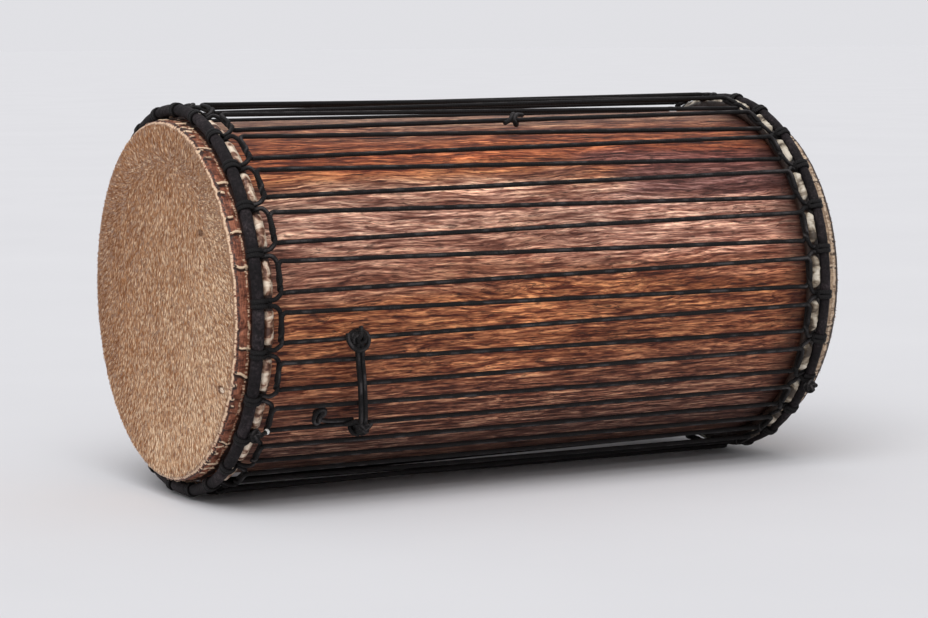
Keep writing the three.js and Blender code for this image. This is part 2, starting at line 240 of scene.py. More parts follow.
# Lays a round cord on a route, pressed flatter where the route says so, and keeps for its finish how
# far along and how far round the cord each point is.
cord_laying, given = tree_with(
    "lay_cord", ("Route", "Geometry"), ("Cord radius", "Float"), ("Sides", "Int"),
    ("Finish", "Material"), gives="Cord")
line = add(cord_laying, "GeometryNodeMeshToCurve", {"Mesh": given["Route"]}).outputs[0]
facing = remembered(cord_laying, "facing")
pressed = remembered(cord_laying, "pressed", "FLOAT")
line = add(cord_laying, "GeometryNodeSetCurveNormal", {"Curve": line, "Normal": facing},
           mode="FREE").outputs[0]
length = add(cord_laying, "GeometryNodeSplineParameter").outputs["Length"]
line = keeping(cord_laying, line, "along_cord", length, "FLOAT")
here = add(cord_laying, "GeometryNodeInputPosition").outputs[0]
line = keeping(cord_laying, line, "middle", here)
circle = add(cord_laying, "GeometryNodeCurvePrimitiveCircle",
             {"Resolution": given["Sides"], "Radius": given["Cord radius"]}).outputs[0]
circle = keeping(cord_laying, circle, "round_cord", vectors(cord_laying, "NORMALIZE", here))
swept = add(cord_laying, "GeometryNodeCurveToMesh",
            {"Curve": line, "Profile Curve": circle, "Fill Caps": True}).outputs[0]
off_middle = vectors(cord_laying, "SUBTRACT", here, remembered(cord_laying, "middle"))
above = vectors(cord_laying, "DOT_PRODUCT", off_middle, facing)
lowered = times(cord_laying, times(cord_laying, pressed, above), -1.0)
shift = add(cord_laying, "ShaderNodeVectorMath", {0: facing, "Scale": lowered},
            operation="SCALE").outputs[0]
# How far towards the cord's outer side a point is; the finish paints its highlight there.
outermost = maths(cord_laying, "DIVIDE", above, given["Cord radius"])
swept = keeping(cord_laying, swept, "crest", outermost, "FLOAT")
flattened = add(cord_laying, "GeometryNodeSetPosition",
                {"Geometry": swept, "Offset": shift}).outputs[0]
smoothed = add(cord_laying, "GeometryNodeSetShadeSmooth", {"Geometry": flattened}).outputs[0]
finished(cord_laying, smoothed, given["Finish"], "Cord")


def made_by(name, tree, start, **sizes):
    """The plain mesh that a node tree makes from a starting mesh, with its named inputs set."""
    source = placed(name + "_start", start)
    modifier = source.modifiers.new("nodes", "NODES")
    modifier.node_group = tree
    inputs = [item for item in tree.interface.items_tree if item.in_out == "INPUT"]
    sockets = {item.name: item.identifier for item in inputs}
    for label, value in sizes.items():
        modifier[sockets[label.replace("_", " ")]] = value
    source.update_tag()
    evaluated = source.evaluated_get(bpy.context.evaluated_depsgraph_get())
    mesh = bpy.data.meshes.new_from_object(evaluated)
    mesh.name = name
    source.modifiers.clear()
    bpy.data.objects.remove(source)
    return placed(name, mesh)


def keep_on(mesh, kind, **tables):
    """Keeps values on a mesh's points, each table under its own name."""
    for label, values in tables.items():
        field = "vector" if kind == "FLOAT_VECTOR" else "value"
        mesh.attributes.new(label, kind, "POINT").data.foreach_set(field, np.ravel(values))


def eased(stops, spacing, closed=False):
    """A smooth route through stops of place, facing and pressing, with a point at each spacing."""
    stops = np.asarray(stops, dtype=float)
    if closed:
        padded = np.vstack([stops[-1:], stops, stops[:2]])
    else:
        padded = np.vstack([2 * stops[0] - stops[1], stops, 2 * stops[-1] - stops[-2]])
    points = []
    for a, b, c, d in zip(padded, padded[1:], padded[2:], padded[3:]):
        gaps = [max(np.linalg.norm(q[:3] - p[:3]), 1e-6) ** 0.5 for p, q in ((a, b), (b, c), (c, d))]
        ta, tb, tc, td = 0.0, gaps[0], gaps[0] + gaps[1], sum(gaps)
        count = max(1, int(round(np.linalg.norm(c[:3] - b[:3]) / spacing)))
        t = (tb + (tc - tb) * np.arange(count) / count)[:, None]
        ab = ((tb - t) * a + (t - ta) * b) / (tb - ta)
        bc = ((tc - t) * b + (t - tb) * c) / (tc - tb)
        cd = ((td - t) * c + (t - tc) * d) / (td - tc)
        abc = ((tc - t) * ab + (t - ta) * bc) / (tc - ta)
        bcd = ((td - t) * bc + (t - tb) * cd) / (td - tb)
        points.append(((tc - t) * abc + (t - tb) * bcd) / (tc - tb))
    if not closed:
        points.append(stops[-1:])
    return np.vstack(points)


def laid_cord(name, routes, radius, sides):
    """A piece of cord from routes of place, facing and pressing; a route may close on itself."""
    places, facings, pressings, edges, first = [], [], [], [], 0
    for route, closed in routes:
        spots, tops = route[:, :3], route[:, 3:6]
        if closed:
            ahead = np.roll(spots, -1, 0) - np.roll(spots, 1, 0)
        else:
            ahead = np.gradient(spots, axis=0)
        ahead /= np.linalg.norm(ahead, axis=1)[:, None]
        tops = tops - ahead * (tops * ahead).sum(1)[:, None]
        tops /= np.maximum(np.linalg.norm(tops, axis=1)[:, None], 1e-9)
        places.append(spots)
        facings.append(tops)
        pressings.append(route[:, 6])
        number = np.arange(first, first + len(spots))
        edges += list(zip(number[:-1], number[1:]))
        if closed:
            edges.append((number[-1], number[0]))
        first += len(spots)
    start = bpy.data.meshes.new(name + "_route")
    start.from_pydata(np.vstack(places).tolist(), [(int(a), int(b)) for a, b in edges], [])
    keep_on(start, "FLOAT_VECTOR", facing=np.vstack(facings))
    keep_on(start, "FLOAT", pressed=np.hstack(pressings))
    return made_by(name, cord_laying, start, Cord_radius=radius, Sides=sides, Finish=cord_finish)


def loose_knot(middle, axis, start, hole, radius, spread, half_span):
    """A closed route, twice round its axis, whose two strands swap places three times on the way."""
    axis, start = np.asarray(axis, float), np.asarray(start, float)
    side = np.cross(axis, start)
    share = np.linspace(0, 2 * np.pi, 97)[:-1, None]
    out = start * np.cos(2 * share) + side * np.sin(2 * share)
    reach = hole + radius + spread * (1 + np.cos(3 * share))
    spots = middle + out * reach + axis * (half_span - radius) * np.sin(3 * share)
    return np.hstack([spots, out, np.zeros_like(share)]), True


def outward_at(point):
    """Away from the drum's axis, at a point."""
    away = np.array((0.0, point[1] - axis_y, point[2] - axis_z))
    return away / np.linalg.norm(away)


def tied_round(middle, points, radius):
    """A route round a knot's middle. Each point is given along the drum, up round it and outwards,
    in cord radii."""
    out = outward_at(middle)
    up = np.cross(out, (1.0, 0.0, 0.0))
    places = np.asarray(points, float) * radius
    spots = middle + places[:, :1] * (1.0, 0.0, 0.0) + places[:, 1:2] * up + places[:, 2:] * out
    stops = np.hstack([spots, np.repeat(out[None, :], len(spots), 0), np.zeros((len(spots), 1))])
    return eased(stops, radius / 3), False


tail_stops = [np.hstack([spot, outward_at(spot), 0.0]) for spot in tail_route]
tail_line = eased(tail_stops, 0.0009)
tie_tail = laid_cord("tie_loose_end", [(tail_line, False)], cord_radius, knot_sides)
tail_knot_route = (
    (1.5, -4.1, -0.9), (1.6, -3.2, 0.1), (0.2, -3.4, 1.1), (-1.4, -2.4, 1.4), (-1.8, -0.2, 1.2),
    (-1.0, 2.0, 0.9), (0.9, 3.2, 0.5), (2.7, 2.4, 0.3), (2.9, 0.4, 0.2), (1.6, -1.0, -0.1),
    (-0.2, -0.8, -0.7), (-0.8, 1.0, -0.9), (0.6, 1.9, -0.2), (1.3, 1.1, 1.1), (0.4, -0.6, 1.6),
    (0.6, -2.2, 2.0),
)
tail_knot = laid_cord("tie_end_knot", [tied_round(tail_knot_middle, tail_knot_route, cord_radius)],
                      cord_radius, knot_sides)
for piece, node in ((tie_tail, "tie_tail"), (tail_knot, "tie_tail_knot")):
    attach(piece, "root")
    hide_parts(node)

# The shell is one log, turned out hollow and rasped smooth by hand, so its sides are a little uneven.
# Its reddish hardwood is oiled: orange, pale and plum streaks run lengthwise, with short dark pores.
shell_radius, shell_wall, shell_half = 0.172, 0.014, 0.338
edge_round, inner_chamfer = 0.0035, 0.008


def turned_piece(name, x, radius, finish):
    """A mesh turned about the drum's axis: x and radius are tables of outline point by angle."""
    rows, columns = radius.shape
    angle = 2 * np.pi * np.arange(columns) / columns
    spots = np.stack([x, axis_y - radius * np.sin(angle), axis_z + radius * np.cos(angle)], axis=-1)
    number = np.arange(rows * columns).reshape(rows, columns)
    wrapped = np.vstack([number, number[:1]])
    a, b = wrapped[:-1], wrapped[1:]
    quads = np.stack([a, np.roll(a, -1, 1), np.roll(b, -1, 1), b], axis=-1).reshape(-1, 4)
    mesh = bpy.data.meshes.new(name)
    mesh.from_pydata(spots.reshape(-1, 3).tolist(), [], quads.tolist())
    mesh.materials.append(finish)
    mesh.shade_smooth()
    return placed(name, mesh)


def within(tree, share, value, low, low_full, high_full, high):
    """A share that holds only while a value lies between these edges, each of them soft."""
    share = times(tree, share, step_between(tree, value, low, low_full))
    return times(tree, share, step_between(tree, value, high, high_full))


# The colours of the log change from its top, at 0, round both sides to its underside, at 1.
wood, tree, surface = new_finish("oiled_hardwood")
coords = place_on(tree)
bent = coords
slow_bend, quick_bend = ((4, 15, 15), 0.020), ((26, 45, 45), 0.0036)
for stretch, reach in (slow_bend, quick_bend):
    shift = centred(tree, mottled(tree, coords, stretch, 1.0, 2.0), reach)
    sideways = add(tree, "ShaderNodeCombineXYZ", {"Y": shift, "Z": shift}).outputs[0]
    bent = vectors(tree, "ADD", bent, sideways)
wander = maths(tree, "SUBTRACT", mottled(tree, coords, (2.6, 15, 15), 1.0, 3.0, 0.6, 0.4), 0.5)
sides = add(tree, "ShaderNodeSeparateXYZ", {0: bent}).outputs
across = maths(tree, "SUBTRACT", axis_y, sides["Y"])
above = maths(tree, "SUBTRACT", sides["Z"], axis_z)
turned = maths(tree, "ABSOLUTE", maths(tree, "ARCTAN2", across, above))
from_top = times(tree, turned, 1 / math.pi)
from_top = plus(tree, from_top, wander, 0.16)
# Between 0.29 and 0.365 the colours are pale and pinkish: partly the wood's own colour, partly a
# painted sheen.
colour = bands(
    tree, from_top, (0.08, (0.27, 0.135, 0.092)), (0.15, (0.25, 0.074, 0.036)),
    (0.21, (0.255, 0.066, 0.028)), (0.25, (0.30, 0.105, 0.048)), (0.29, (0.38, 0.195, 0.140)),
    (0.33, (0.33, 0.160, 0.120)), (0.365, (0.39, 0.200, 0.150)), (0.42, (0.32, 0.140, 0.098)),
    (0.455, (0.30, 0.120, 0.072)), (0.49, (0.30, 0.100, 0.044)), (0.60, (0.285, 0.094, 0.044)),
    (0.66, (0.255, 0.090, 0.050)), (0.72, (0.205, 0.075, 0.046)), (0.80, (0.125, 0.054, 0.040)))

# A plum stain runs along the far half, high up on the sides, and its end follows the grain.
lengthwise = add(tree, "ShaderNodeSeparateXYZ", {0: coords}).outputs["X"]
stained = plus(tree, lengthwise, wander, 0.7)
stained = within(tree, step_between(tree, stained, 0.04, 0.14), from_top, 0.20, 0.225, 0.31, 0.335)
plum = (0.105, 0.038, 0.040, 1)
colour = blended(tree, times(tree, stained, 0.8), colour, plum)

# The wood is palest a little before its middle, where place goes from 0 at the near end to 1 at the
# far end, and two stretches of its upper sides are paler still: one on the far half, and a painted
# sheen over the middle.
place = plus(tree, times(tree, lengthwise, 1.47), 0.5)
tint = bands(tree, place, (0.05, (1.0, 1.0, 1.0)), (0.36, (1.20, 1.20, 1.18)),
             (0.46, (1.32, 1.32, 1.28)), (0.58, (1.05, 1.05, 1.05)), (0.95, (0.98, 0.95, 0.95)))
colour = blended(tree, 1.0, colour, tint, "MULTIPLY")
far_part = step_between(tree, lengthwise, 0.03, 0.10)
far_part = within(tree, far_part, from_top, 0.19, 0.21, 0.47, 0.49)
colour = blended(tree, far_part, colour, (1.32, 1.33, 1.33, 1), "MULTIPLY")
# A painted sheen: the upper sides over the middle of the drum are made paler.
middle_sheen = step_between(tree, lengthwise, -0.14, -0.09)
middle_sheen = times(tree, middle_sheen, step_between(tree, lengthwise, 0.09, 0.04))
middle_sheen = within(tree, middle_sheen, from_top, 0.270, 0.290, 0.35, 0.37)
colour = blended(tree, middle_sheen, colour, (1.30, 1.34, 1.34, 1), "MULTIPLY")

# The grain, from broad stripes to single fibres, each laid over the last.
stripes = mottled(tree, bent, (7, 120, 120), 1.0, 3.0, 0.6, 0.3)
tint = bands(tree, stripes, (0.36, (0.55, 0.44, 0.40)), (0.5, (1.0, 1.0, 1.0)),
             (0.64, (1.38, 1.40, 1.35)))
colour = blended(tree, 1.0, colour, tint, "MULTIPLY")
streaks = mottled(tree, bent, (26, 420, 420), 1.0, 3.0, 0.6, 0.35)
tint = bands(tree, streaks, (0.37, (0.25, 0.13, 0.10)), (0.43, (0.55, 0.41, 0.37)),
             (0.49, (1.0, 1.0, 1.0)), (0.56, (1.50, 1.64, 1.60)), (0.64, (2.3, 2.9, 2.9)))
softer = bands(tree, from_top, (0.24, (1.0, 1.0, 1.0)), (0.30, (0.86, 0.86, 0.86)),
               (0.44, (0.86, 0.86, 0.86)), (0.49, (1.0, 1.0, 1.0)))
colour = blended(tree, softer, colour, tint, "MULTIPLY")
stronger = bands(tree, from_top, (0.62, (0.0, 0.0, 0.0)), (0.72, (0.30, 0.30, 0.30)))
colour = blended(tree, stronger, colour, tint, "MULTIPLY")
fibres = mottled(tree, bent, (85, 1150, 1150), 1.0, 3.0, 0.6)
tint = bands(tree, fibres, (0.36, (0.45, 0.38, 0.36)), (0.5, (1.0, 1.0, 1.0)),
             (0.64, (1.55, 1.58, 1.55)))
colour = blended(tree, 0.9, colour, tint, "MULTIPLY")

# Short dark pores, hair cracks in some places, and the wood growing darker towards the far end, under
# the far collar.
dashes = step_between(tree, mottled(tree, bent, (70, 520, 520), 1.0, 2.0), 0.60, 0.66)
cracks = mottled(tree, bent, (9, 100, 100), 1.0, 4.0, 0.6, 1.0)
off_line = maths(tree, "ABSOLUTE", maths(tree, "SUBTRACT", cracks, 0.56))
cracks = step_between(tree, off_line, 0.012, 0.0)
patchy = step_between(tree, mottled(tree, coords, (8, 18, 18), 1.0, 2.0), 0.42, 0.60)
pores, cracks = times(tree, dashes, 0.75), times(tree, cracks, patchy)
dark_marks = maths(tree, "MAXIMUM", pores, cracks)
black_brown = (0.030, 0.011, 0.008, 1)
colour = blended(tree, times(tree, dark_marks, 0.85), colour, black_brown)
# The wood is made darker over its last few centimetres towards the far end.
ragged = plus(tree, lengthwise, streaks, 0.05)
darker_to_far_end = step_between(tree, ragged, 0.285, 0.325)
far_end_dark = (0.035, 0.014, 0.012, 1)
colour = blended(tree, times(tree, darker_to_far_end, 0.8), colour, far_end_dark)
give(tree, surface, {"Base Color": colour, "Specular IOR Level": 0.3,
                     "Roughness": step_between(tree, streaks, 0.3, 0.7, 0.42, 0.62)})
relief = plus(tree, times(tree, fibres, 0.5), streaks, 1.0)
relief = maths(tree, "SUBTRACT", relief, dark_marks)
raised(tree, surface, relief, 0.7, 0.0008)

# The outline goes round the bearing edges and along the outside, then back through the bore. The
# rasp leaves the outside in shallow flats and hollows, which die out towards the ends.
columns = 360
halfway = edge_round * (1 - math.sqrt(0.5))
outer = [(-shell_half, shell_radius - edge_round),
         (-shell_half + halfway * 0.35, shell_radius - edge_round * 0.55),
         (-shell_half + halfway, shell_radius - halfway),
         (-shell_half + edge_round * 0.6, shell_radius - halfway * 0.3)]
outer += [(x, shell_radius) for x in np.linspace(-shell_half + edge_round, 0, 78)]
outer = outer + [(-x, r) for x, r in reversed(outer[:-1])]
bore = shell_radius - shell_wall
inner = [(shell_half, bore + inner_chamfer / 2), (shell_half - inner_chamfer, bore)]
inner += [(x, bore) for x in np.linspace(shell_half - 0.05, -shell_half + 0.05, 12)]
inner += [(-shell_half + inner_chamfer, bore), (-shell_half, bore + inner_chamfer / 2)]
profile = np.array(outer + inner)
x = np.repeat(profile[:, :1], columns, axis=1)
radius = np.repeat(profile[:, 1:], columns, axis=1)
angle = 2 * np.pi * np.arange(columns) / columns
worked = np.random.default_rng(11)
hollow = np.zeros_like(radius[:len(outer)])
for waves, size in ((5, 0.00035), (13, 0.00022), (29, 0.00016), (47, 0.0001)):
    for _ in range(4):
        count = round(waves * worked.uniform(0.7, 1.3))
        slanting = worked.uniform(0.35, 1.0) * waves
        phase = worked.uniform(0, 2 * np.pi)
        hollow += size * 0.5 * np.sin(count * angle + slanting * x[:len(outer)] / 0.3 + phase)
even_end, rasped_off = 0.05, 0.0006
fade = np.clip((shell_half - np.abs(x[:len(outer)])) / even_end, 0, 1)
radius[:len(outer)] += (hollow - rasped_off) * fade
shell = turned_piece("log_shell", x, radius, wood)
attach(shell, "root")
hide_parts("shell")

# Each head is a wetted cowhide, hair side out: flat over the mouth, drawn down the shell in pleats
# as a collar, and folded back round the hoop, where its pale flesh side shows. It dries wrinkled.
half_length = 0.3399
hitch_count = 25
hitch_step = 2 * math.pi / hitch_count
skin_thick, hoop_inset, hoop_round = 0.0016, 0.0312, 0.1772
outside_off, inside_off = 0.0019, 0.0003
far_draw = 0.007
fold_inner, fold_outer = 0.0033, 0.0049
head_edge = edge_round + outside_off


def gentle(low, high, value):
    """From 0 at low to 1 at high, with no corner at either."""
    share = np.clip((value - low) / (high - low), 0, 1)
    return share * share * (3 - 2 * share)


def hide_finish(name, collar_dark, collar_middle, collar_light, crest, rim_light, rim_shade,
                pale_strips, shade_strips, fold_from, fold_dark, fold_middle, fold_light, fold_pale,
                head_dark, head_light):
    """Cowhide, from the hairy flat over the rim and the collar to the folded flesh side. A strip
    lies between two places on the rim and collar, and holds where the wrinkles pass two values."""
    finish, tree, surface = new_finish(name)
    coords = place_on(tree)
    kept = {label: kept_value(tree, label) for label in ("rim", "pleat", "groove", "fold", "cell")}
    unrolled = kept_value(tree, "unrolled", "Vector")
    stain = mottled(tree, unrolled, (1, 1, 1), 130.0, 4.0, 0.6)
    speck = mottled(tree, coords, (1, 1, 1), 520.0, 3.0, 0.6)
    lines = mottled(tree, unrolled, (110, 1000, 1), 1.0, 3.0, 0.6, 0.4)
    wrinkles = mottled(tree, unrolled, (480, 120, 1), 1.0, 3.0, 0.6, 0.5)
    rough_edge = centred(tree, speck, 0.6)
    worked = plus(tree, times(tree, stain, 0.4), lines, 0.35)
    worked = plus(tree, worked, wrinkles, 0.25)
    collar = bands(tree, worked, (0.42, collar_dark), (0.48, collar_middle), (0.54, collar_light),
                   (0.62, tuple(1.7 * part for part in collar_light)))
    # The pleats' crests are painted pale: partly the creased hide's colour, partly a painted
    # highlight on each ridge.
    pleat = plus(tree, kept["pleat"], rough_edge)
    collar = blended(tree, step_between(tree, pleat, 0.44, 0.66), collar, crest)
    shadowed = (*(0.5 * part for part in collar_dark), 1)
    collar = blended(tree, step_between(tree, kept["groove"], 0.1, 0.6), collar, shadowed)
    hair = mottled(tree, coords, (1, 1, 0.4), 520.0, 2.0)
    flat = bands(tree, hair, (0.38, head_dark), (0.62, head_light))
    rim = plus(tree, kept["rim"], rough_edge, 0.4)
    rim = plus(tree, rim, centred(tree, stain, 0.6))
    colour = blended(tree, step_between(tree, rim, 0.36, 0.42), flat, collar)
    soft = 0.03
    # The shade strips are painted shade: along the skin's rounded edge and in the gap before the
    # ring.
    for shade, strips in ((rim_light, pale_strips), (rim_shade, shade_strips)):
        for low, high, *patchiness in strips:
            strip = step_between(tree, wrinkles, *patchiness)
            strip = within(tree, strip, rim, low - soft, low + soft, high - soft, high + soft)
            colour = blended(tree, strip, colour, shade)
    lumpy = mottled(tree, unrolled, (0.7, 1, 1), 120.0, 2.0, 0.5, 0.6)
    blotch = plus(tree, times(tree, lumpy, 0.8), wrinkles, 0.2)
    fold = bands(tree, blotch, (fold_from, fold_dark), (fold_from + 0.055, fold_middle),
                 (fold_from + 0.10, fold_light), (fold_from + 0.18, fold_pale))
    # Painted shade: the fold is darkened near each hitch, where the cord's legs cross it.
    shade_at_hitches = plus(tree, kept["cell"], rough_edge)
    fold = blended(tree, step_between(tree, shade_at_hitches, 0.45, 0.12), fold, (0.030, 0.013, 0.008, 1))
    folded = plus(tree, kept["fold"], rough_edge)
    colour = blended(tree, step_between(tree, folded, 0.35, 0.65), colour, fold)
    give(tree, surface, {"Base Color": colour,
                         "Roughness": step_between(tree, stain, 0.3, 0.7, 0.40, 0.62)})
    raised(tree, surface, plus(tree, worked, speck, 0.3), 0.8, 0.0016)
    return finish


near_hide = hide_finish(
    "near_cowhide", collar_dark=(0.060, 0.015, 0.007), collar_middle=(0.170, 0.046, 0.021),
    collar_light=(0.300, 0.104, 0.055), crest=(0.86, 0.63, 0.43, 1), rim_light=(0.74, 0.52, 0.35, 1),
    rim_shade=(0.026, 0.008, 0.004, 1),
    pale_strips=((0.38, 0.62, 0.36, 0.48), (1.72, 1.90, 0.47, 0.56)),
    shade_strips=((0.68, 0.92, 0.40, 0.52), (1.98, 2.7, 0.2, 0.3)),
    fold_from=0.395, fold_dark=(0.075, 0.028, 0.016), fold_middle=(0.22, 0.100, 0.060),
    fold_light=(0.55, 0.37, 0.26), fold_pale=(0.92, 0.76, 0.60),
    head_dark=(0.22, 0.110, 0.056), head_light=(0.38, 0.22, 0.13))
far_hide = hide_finish(
    "far_cowhide", collar_dark=(0.150, 0.090, 0.055), collar_middle=(0.29, 0.190, 0.118),
    collar_light=(0.41, 0.285, 0.185), crest=(0.56, 0.42, 0.30, 1), rim_light=(0.60, 0.46, 0.33, 1),
    rim_shade=(0.028, 0.014, 0.009, 1), pale_strips=((1.10, 1.30, 0.42, 0.52),),
    shade_strips=((-0.1, 0.98, 0.2, 0.3), (2.55, 3.5, 0.2, 0.3)),
    fold_from=0.425, fold_dark=(0.050, 0.034, 0.022), fold_middle=(0.20, 0.155, 0.108),
    fold_light=(0.40, 0.34, 0.26), fold_pale=(0.64, 0.57, 0.47),
    head_dark=(0.24, 0.14, 0.08), head_light=(0.42, 0.27, 0.17))


def arc(radius, start, stop, steps):
    """Points on an arc about its own middle, from one angle to another."""
    return [(radius * math.cos(math.radians(d)), radius * math.sin(math.radians(d)))
            for d in np.linspace(start, stop, steps)]


def hide_outline(draw, pale_from):
    """The skin's outline, from the middle over the rim to the fold's lip and back inside, and which
    of its rows are the outside of the fold. A row is the inset from the drum's end, the radius, the
    place on the rim (0 to 1) and the collar (to 3), how much it is folded flesh side, and how much
    it is drawn up in pleats."""
    rows = [(0.0, r, 0.0, 0.0, 0.0) for r in (0.0008, 0.02, 0.055, 0.09, 0.125, 0.15, 0.162, 0.1665)]
    hoop_at = hoop_inset + draw
    rim_radius = shell_radius - edge_round
    for i, (dx, dr) in enumerate(arc(head_edge, 180, 90, 9)):
        rows.append((head_edge + dx, rim_radius + dr, 0.125 * i, 0.0, gentle(1, 7, i)))
    for inset in np.linspace(head_edge + 0.0014, hoop_at - 0.0012, 17):
        place = 1 + (inset - head_edge) / 0.01
        drawn_up = 1.0 - gentle(hoop_at - 0.0072, hoop_at - 0.0022, inset)
        rows.append((inset, shell_radius + outside_off, place, 0.0, drawn_up))
    for dx, dr in arc(fold_inner, -90, 150, 7):
        rows.append((hoop_at + dx, hoop_round + dr, 3.0, 0.0, 0.0))
    lip_reach, lip_turn = (fold_inner + fold_outer) / 2, math.radians(154)
    rows.append((hoop_at + lip_reach * math.cos(lip_turn),
                 hoop_round + lip_reach * math.sin(lip_turn), 3.0, 1.0, 0.0))
    after_lip = len(rows)
    for degrees in np.linspace(150, -90, 23):
        a = math.radians(degrees)
        pale = gentle(pale_from, pale_from + 30, degrees)
        rows.append((hoop_at + fold_outer * math.cos(a), hoop_round + fold_outer * math.sin(a),
                     3.0, pale, 0.0))
    outside_of_fold = range(after_lip, len(rows))
    for inset in (hoop_at - 0.004, hoop_at / 2, head_edge + 0.002):
        rows.append((inset, shell_radius + inside_off, 3.0, 0.0, 0.0))
    for dx, dr in arc(edge_round + inside_off, 90, 180, 4):
        rows.append((head_edge + dx, rim_radius + dr, 3.0, 0.0, 0.0))
    rows += [(skin_thick, r, 0.0, 0.0, 0.0) for r in (0.15, 0.04, 0.0008)]
    return np.array(rows), outside_of_fold


def pleated(inset, angle, drawn):
    """How high the pleats stand, how deep the groove beside each is, and how far the nearest is."""
    pleats, grooves = np.zeros((2, *inset.shape))
    nearest = np.full_like(inset, 1.0)
    middles = np.cumsum(drawn.gamma(1.2, 0.6, 100))
    middles = middles / middles[-1] * 2 * np.pi
    for middle in middles:
        strong = drawn.uniform() < 0.6
        tall = drawn.uniform(0.75, 1.0) if strong else drawn.uniform(0.3, 0.5)
        wide = drawn.uniform(0.0065, 0.0120)
        slant, curve = drawn.normal(0, 0.016), drawn.normal(0, 0.005)
        phase = drawn.uniform(0, 2 * np.pi)
        top_from = drawn.uniform(0.0, 0.0030)
        top_to = 0.030 if drawn.uniform() < 0.55 else drawn.uniform(0.007, 0.013)
        down = (inset - 0.012) / 0.012
        wavy = 0.0035 * np.sin(inset / 0.0018 + phase)
        across = angle[None, :] - middle - slant * down - curve * down ** 2 - wavy
        across = (across + np.pi) % (2 * np.pi) - np.pi
        skewed = np.where(across < 0, across / 1.6, across / 0.7)
        run = gentle(top_from, top_from + 0.0020, inset) * (1 - gentle(top_to - 0.002, top_to, inset))
        pleats = np.maximum(pleats, tall * np.exp(-(skewed / wide) ** 2) * run)
        behind = (across - 1.5 * wide) / (0.8 * wide)
        grooves = np.maximum(grooves, tall * np.exp(-behind ** 2) * run)
        nearest = np.minimum(nearest, np.abs(across))
    return pleats, grooves, nearest


def cowhide(name, side, hitch_turn, draw, seed, finish, pleat_height, cell_height, flap_height,
            pale_from):
    """The skin as one closed sheet: pleated on the collar, and its fold puffed up in each cell
    between two hitches. The flesh side shows from so many degrees round the fold, and the finish
    follows the values that are kept on the sheet."""
    columns = 1260
    angle = 2 * np.pi * np.arange(columns) / columns
    table, outside_of_fold = hide_outline(draw, pale_from)
    inset, radius, rim, fold = (np.repeat(table[:, i:i + 1], columns, axis=1) for i in range(4))
    drawn_up = table[:, 4:5]
    drawn = np.random.default_rng(seed)
    pleats, grooves, nearest = pleated(inset, angle, drawn)
    pleats, grooves = pleats * drawn_up, grooves * drawn_up
    soft = np.zeros_like(inset)
    for waves in (9, 17, 31, 53, 88):
        tilted = waves * (angle[None, :] + inset * drawn.uniform(-6, 6))
        soft = soft + np.sin(tilted + drawn.uniform(0, 6.28)) * drawn.uniform(0.4, 1.0) / 3
    puffy = gentle(0.0, 0.03, nearest) * 0.0007
    radius = radius + (pleats - grooves * 0.5) * pleat_height + drawn_up * (soft * 0.00030 + puffy)

    from_hitch = np.abs(((angle / hitch_step - hitch_turn + 0.5) % 1) - 0.5)
    cell = gentle(0.10, 0.26, from_hitch)[None, :]
    lumps = np.zeros((1, columns))
    for waves in (41, 67, 103, 151, 197):
        lumps = lumps + np.sin(waves * angle + drawn.uniform(0, 6.28)) * drawn.uniform(0.4, 1.0) / 3.5
    puffed = cell * (cell_height + lumps * cell_height * 0.4) - (1 - cell) * 0.0001
    for row in outside_of_fold:
        away = np.array((inset[row, 0] - (hoop_inset + draw), radius[row, 0] - hoop_round))
        away = away / np.linalg.norm(away)
        under = gentle(-0.8, 0.1, away[1])
        stands_up = max(0.0, 0.925 * away[1] - 0.38 * away[0]) ** 6
        lift = puffed[0] * under + cell[0] * flap_height * stands_up * (1 + 0.12 * lumps[0])
        inset[row] += away[0] * lift
        radius[row] += away[1] * lift

    piece = turned_piece(name, side * (half_length - inset), radius, finish)
    mesh = piece.data
    if side > 0:
        mesh.flip_normals()
    cells = np.repeat(cell, len(table), axis=0)
    keep_on(mesh, "FLOAT", rim=rim, pleat=pleats, groove=grooves, fold=fold, cell=cells)
    along = np.cumsum(np.hypot(np.diff(table[:, 0], prepend=0.0), np.diff(table[:, 1], prepend=0.0)))
    from_top = ((angle + np.pi) % (2 * np.pi) - np.pi) * shell_radius
    unrolled = np.stack(np.broadcast_arrays(from_top[None, :], along[:, None], 0.0), axis=-1)
    keep_on(mesh, "FLOAT_VECTOR", unrolled=unrolled)
    return piece


cut_across = 0.44
for end, side, hitch_turn, draw, seed, finish, heights in (
        ("near", -1, 0.0, 0.0, 5, near_hide,
         {"pleat_height": 0.0021, "cell_height": 0.0010, "flap_height": 0.0018, "pale_from": 12}),
        ("far", 1, 0.5, far_draw, 8, far_hide,
         {"pleat_height": 0.0008, "cell_height": 0.0004, "flap_height": 0.0050, "pale_from": 42})):
    hide = cowhide(end + "_cowhide", side, hitch_turn, draw, seed, finish, **heights)
    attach(hide, "root")
    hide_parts(end + "_head_skin")
    across = cut_across + 2 * draw

# Two steel rods are bent round and welded at each end: the hoop in the skin's fold, and the crown
# ring that the cords pull on. Both are hidden, and a little rusty.
steel, tree, surface = new_finish("rusty_steel")
coords = place_on(tree)
rust = mottled(tree, coords, (1, 1, 1), 140.0, 5.0, 0.65)
colour = bands(tree, rust, (0.42, (0.33, 0.33, 0.34)), (0.60, (0.16, 0.062, 0.025)))
give(tree, surface, {"Base Color": colour,
                     "Roughness": step_between(tree, rust, 0.4, 0.6, 0.35, 0.8),
                     "Metallic": step_between(tree, rust, 0.4, 0.6, 1.0, 0.1)})
raised(tree, surface, rust, 0.4, 0.0003)

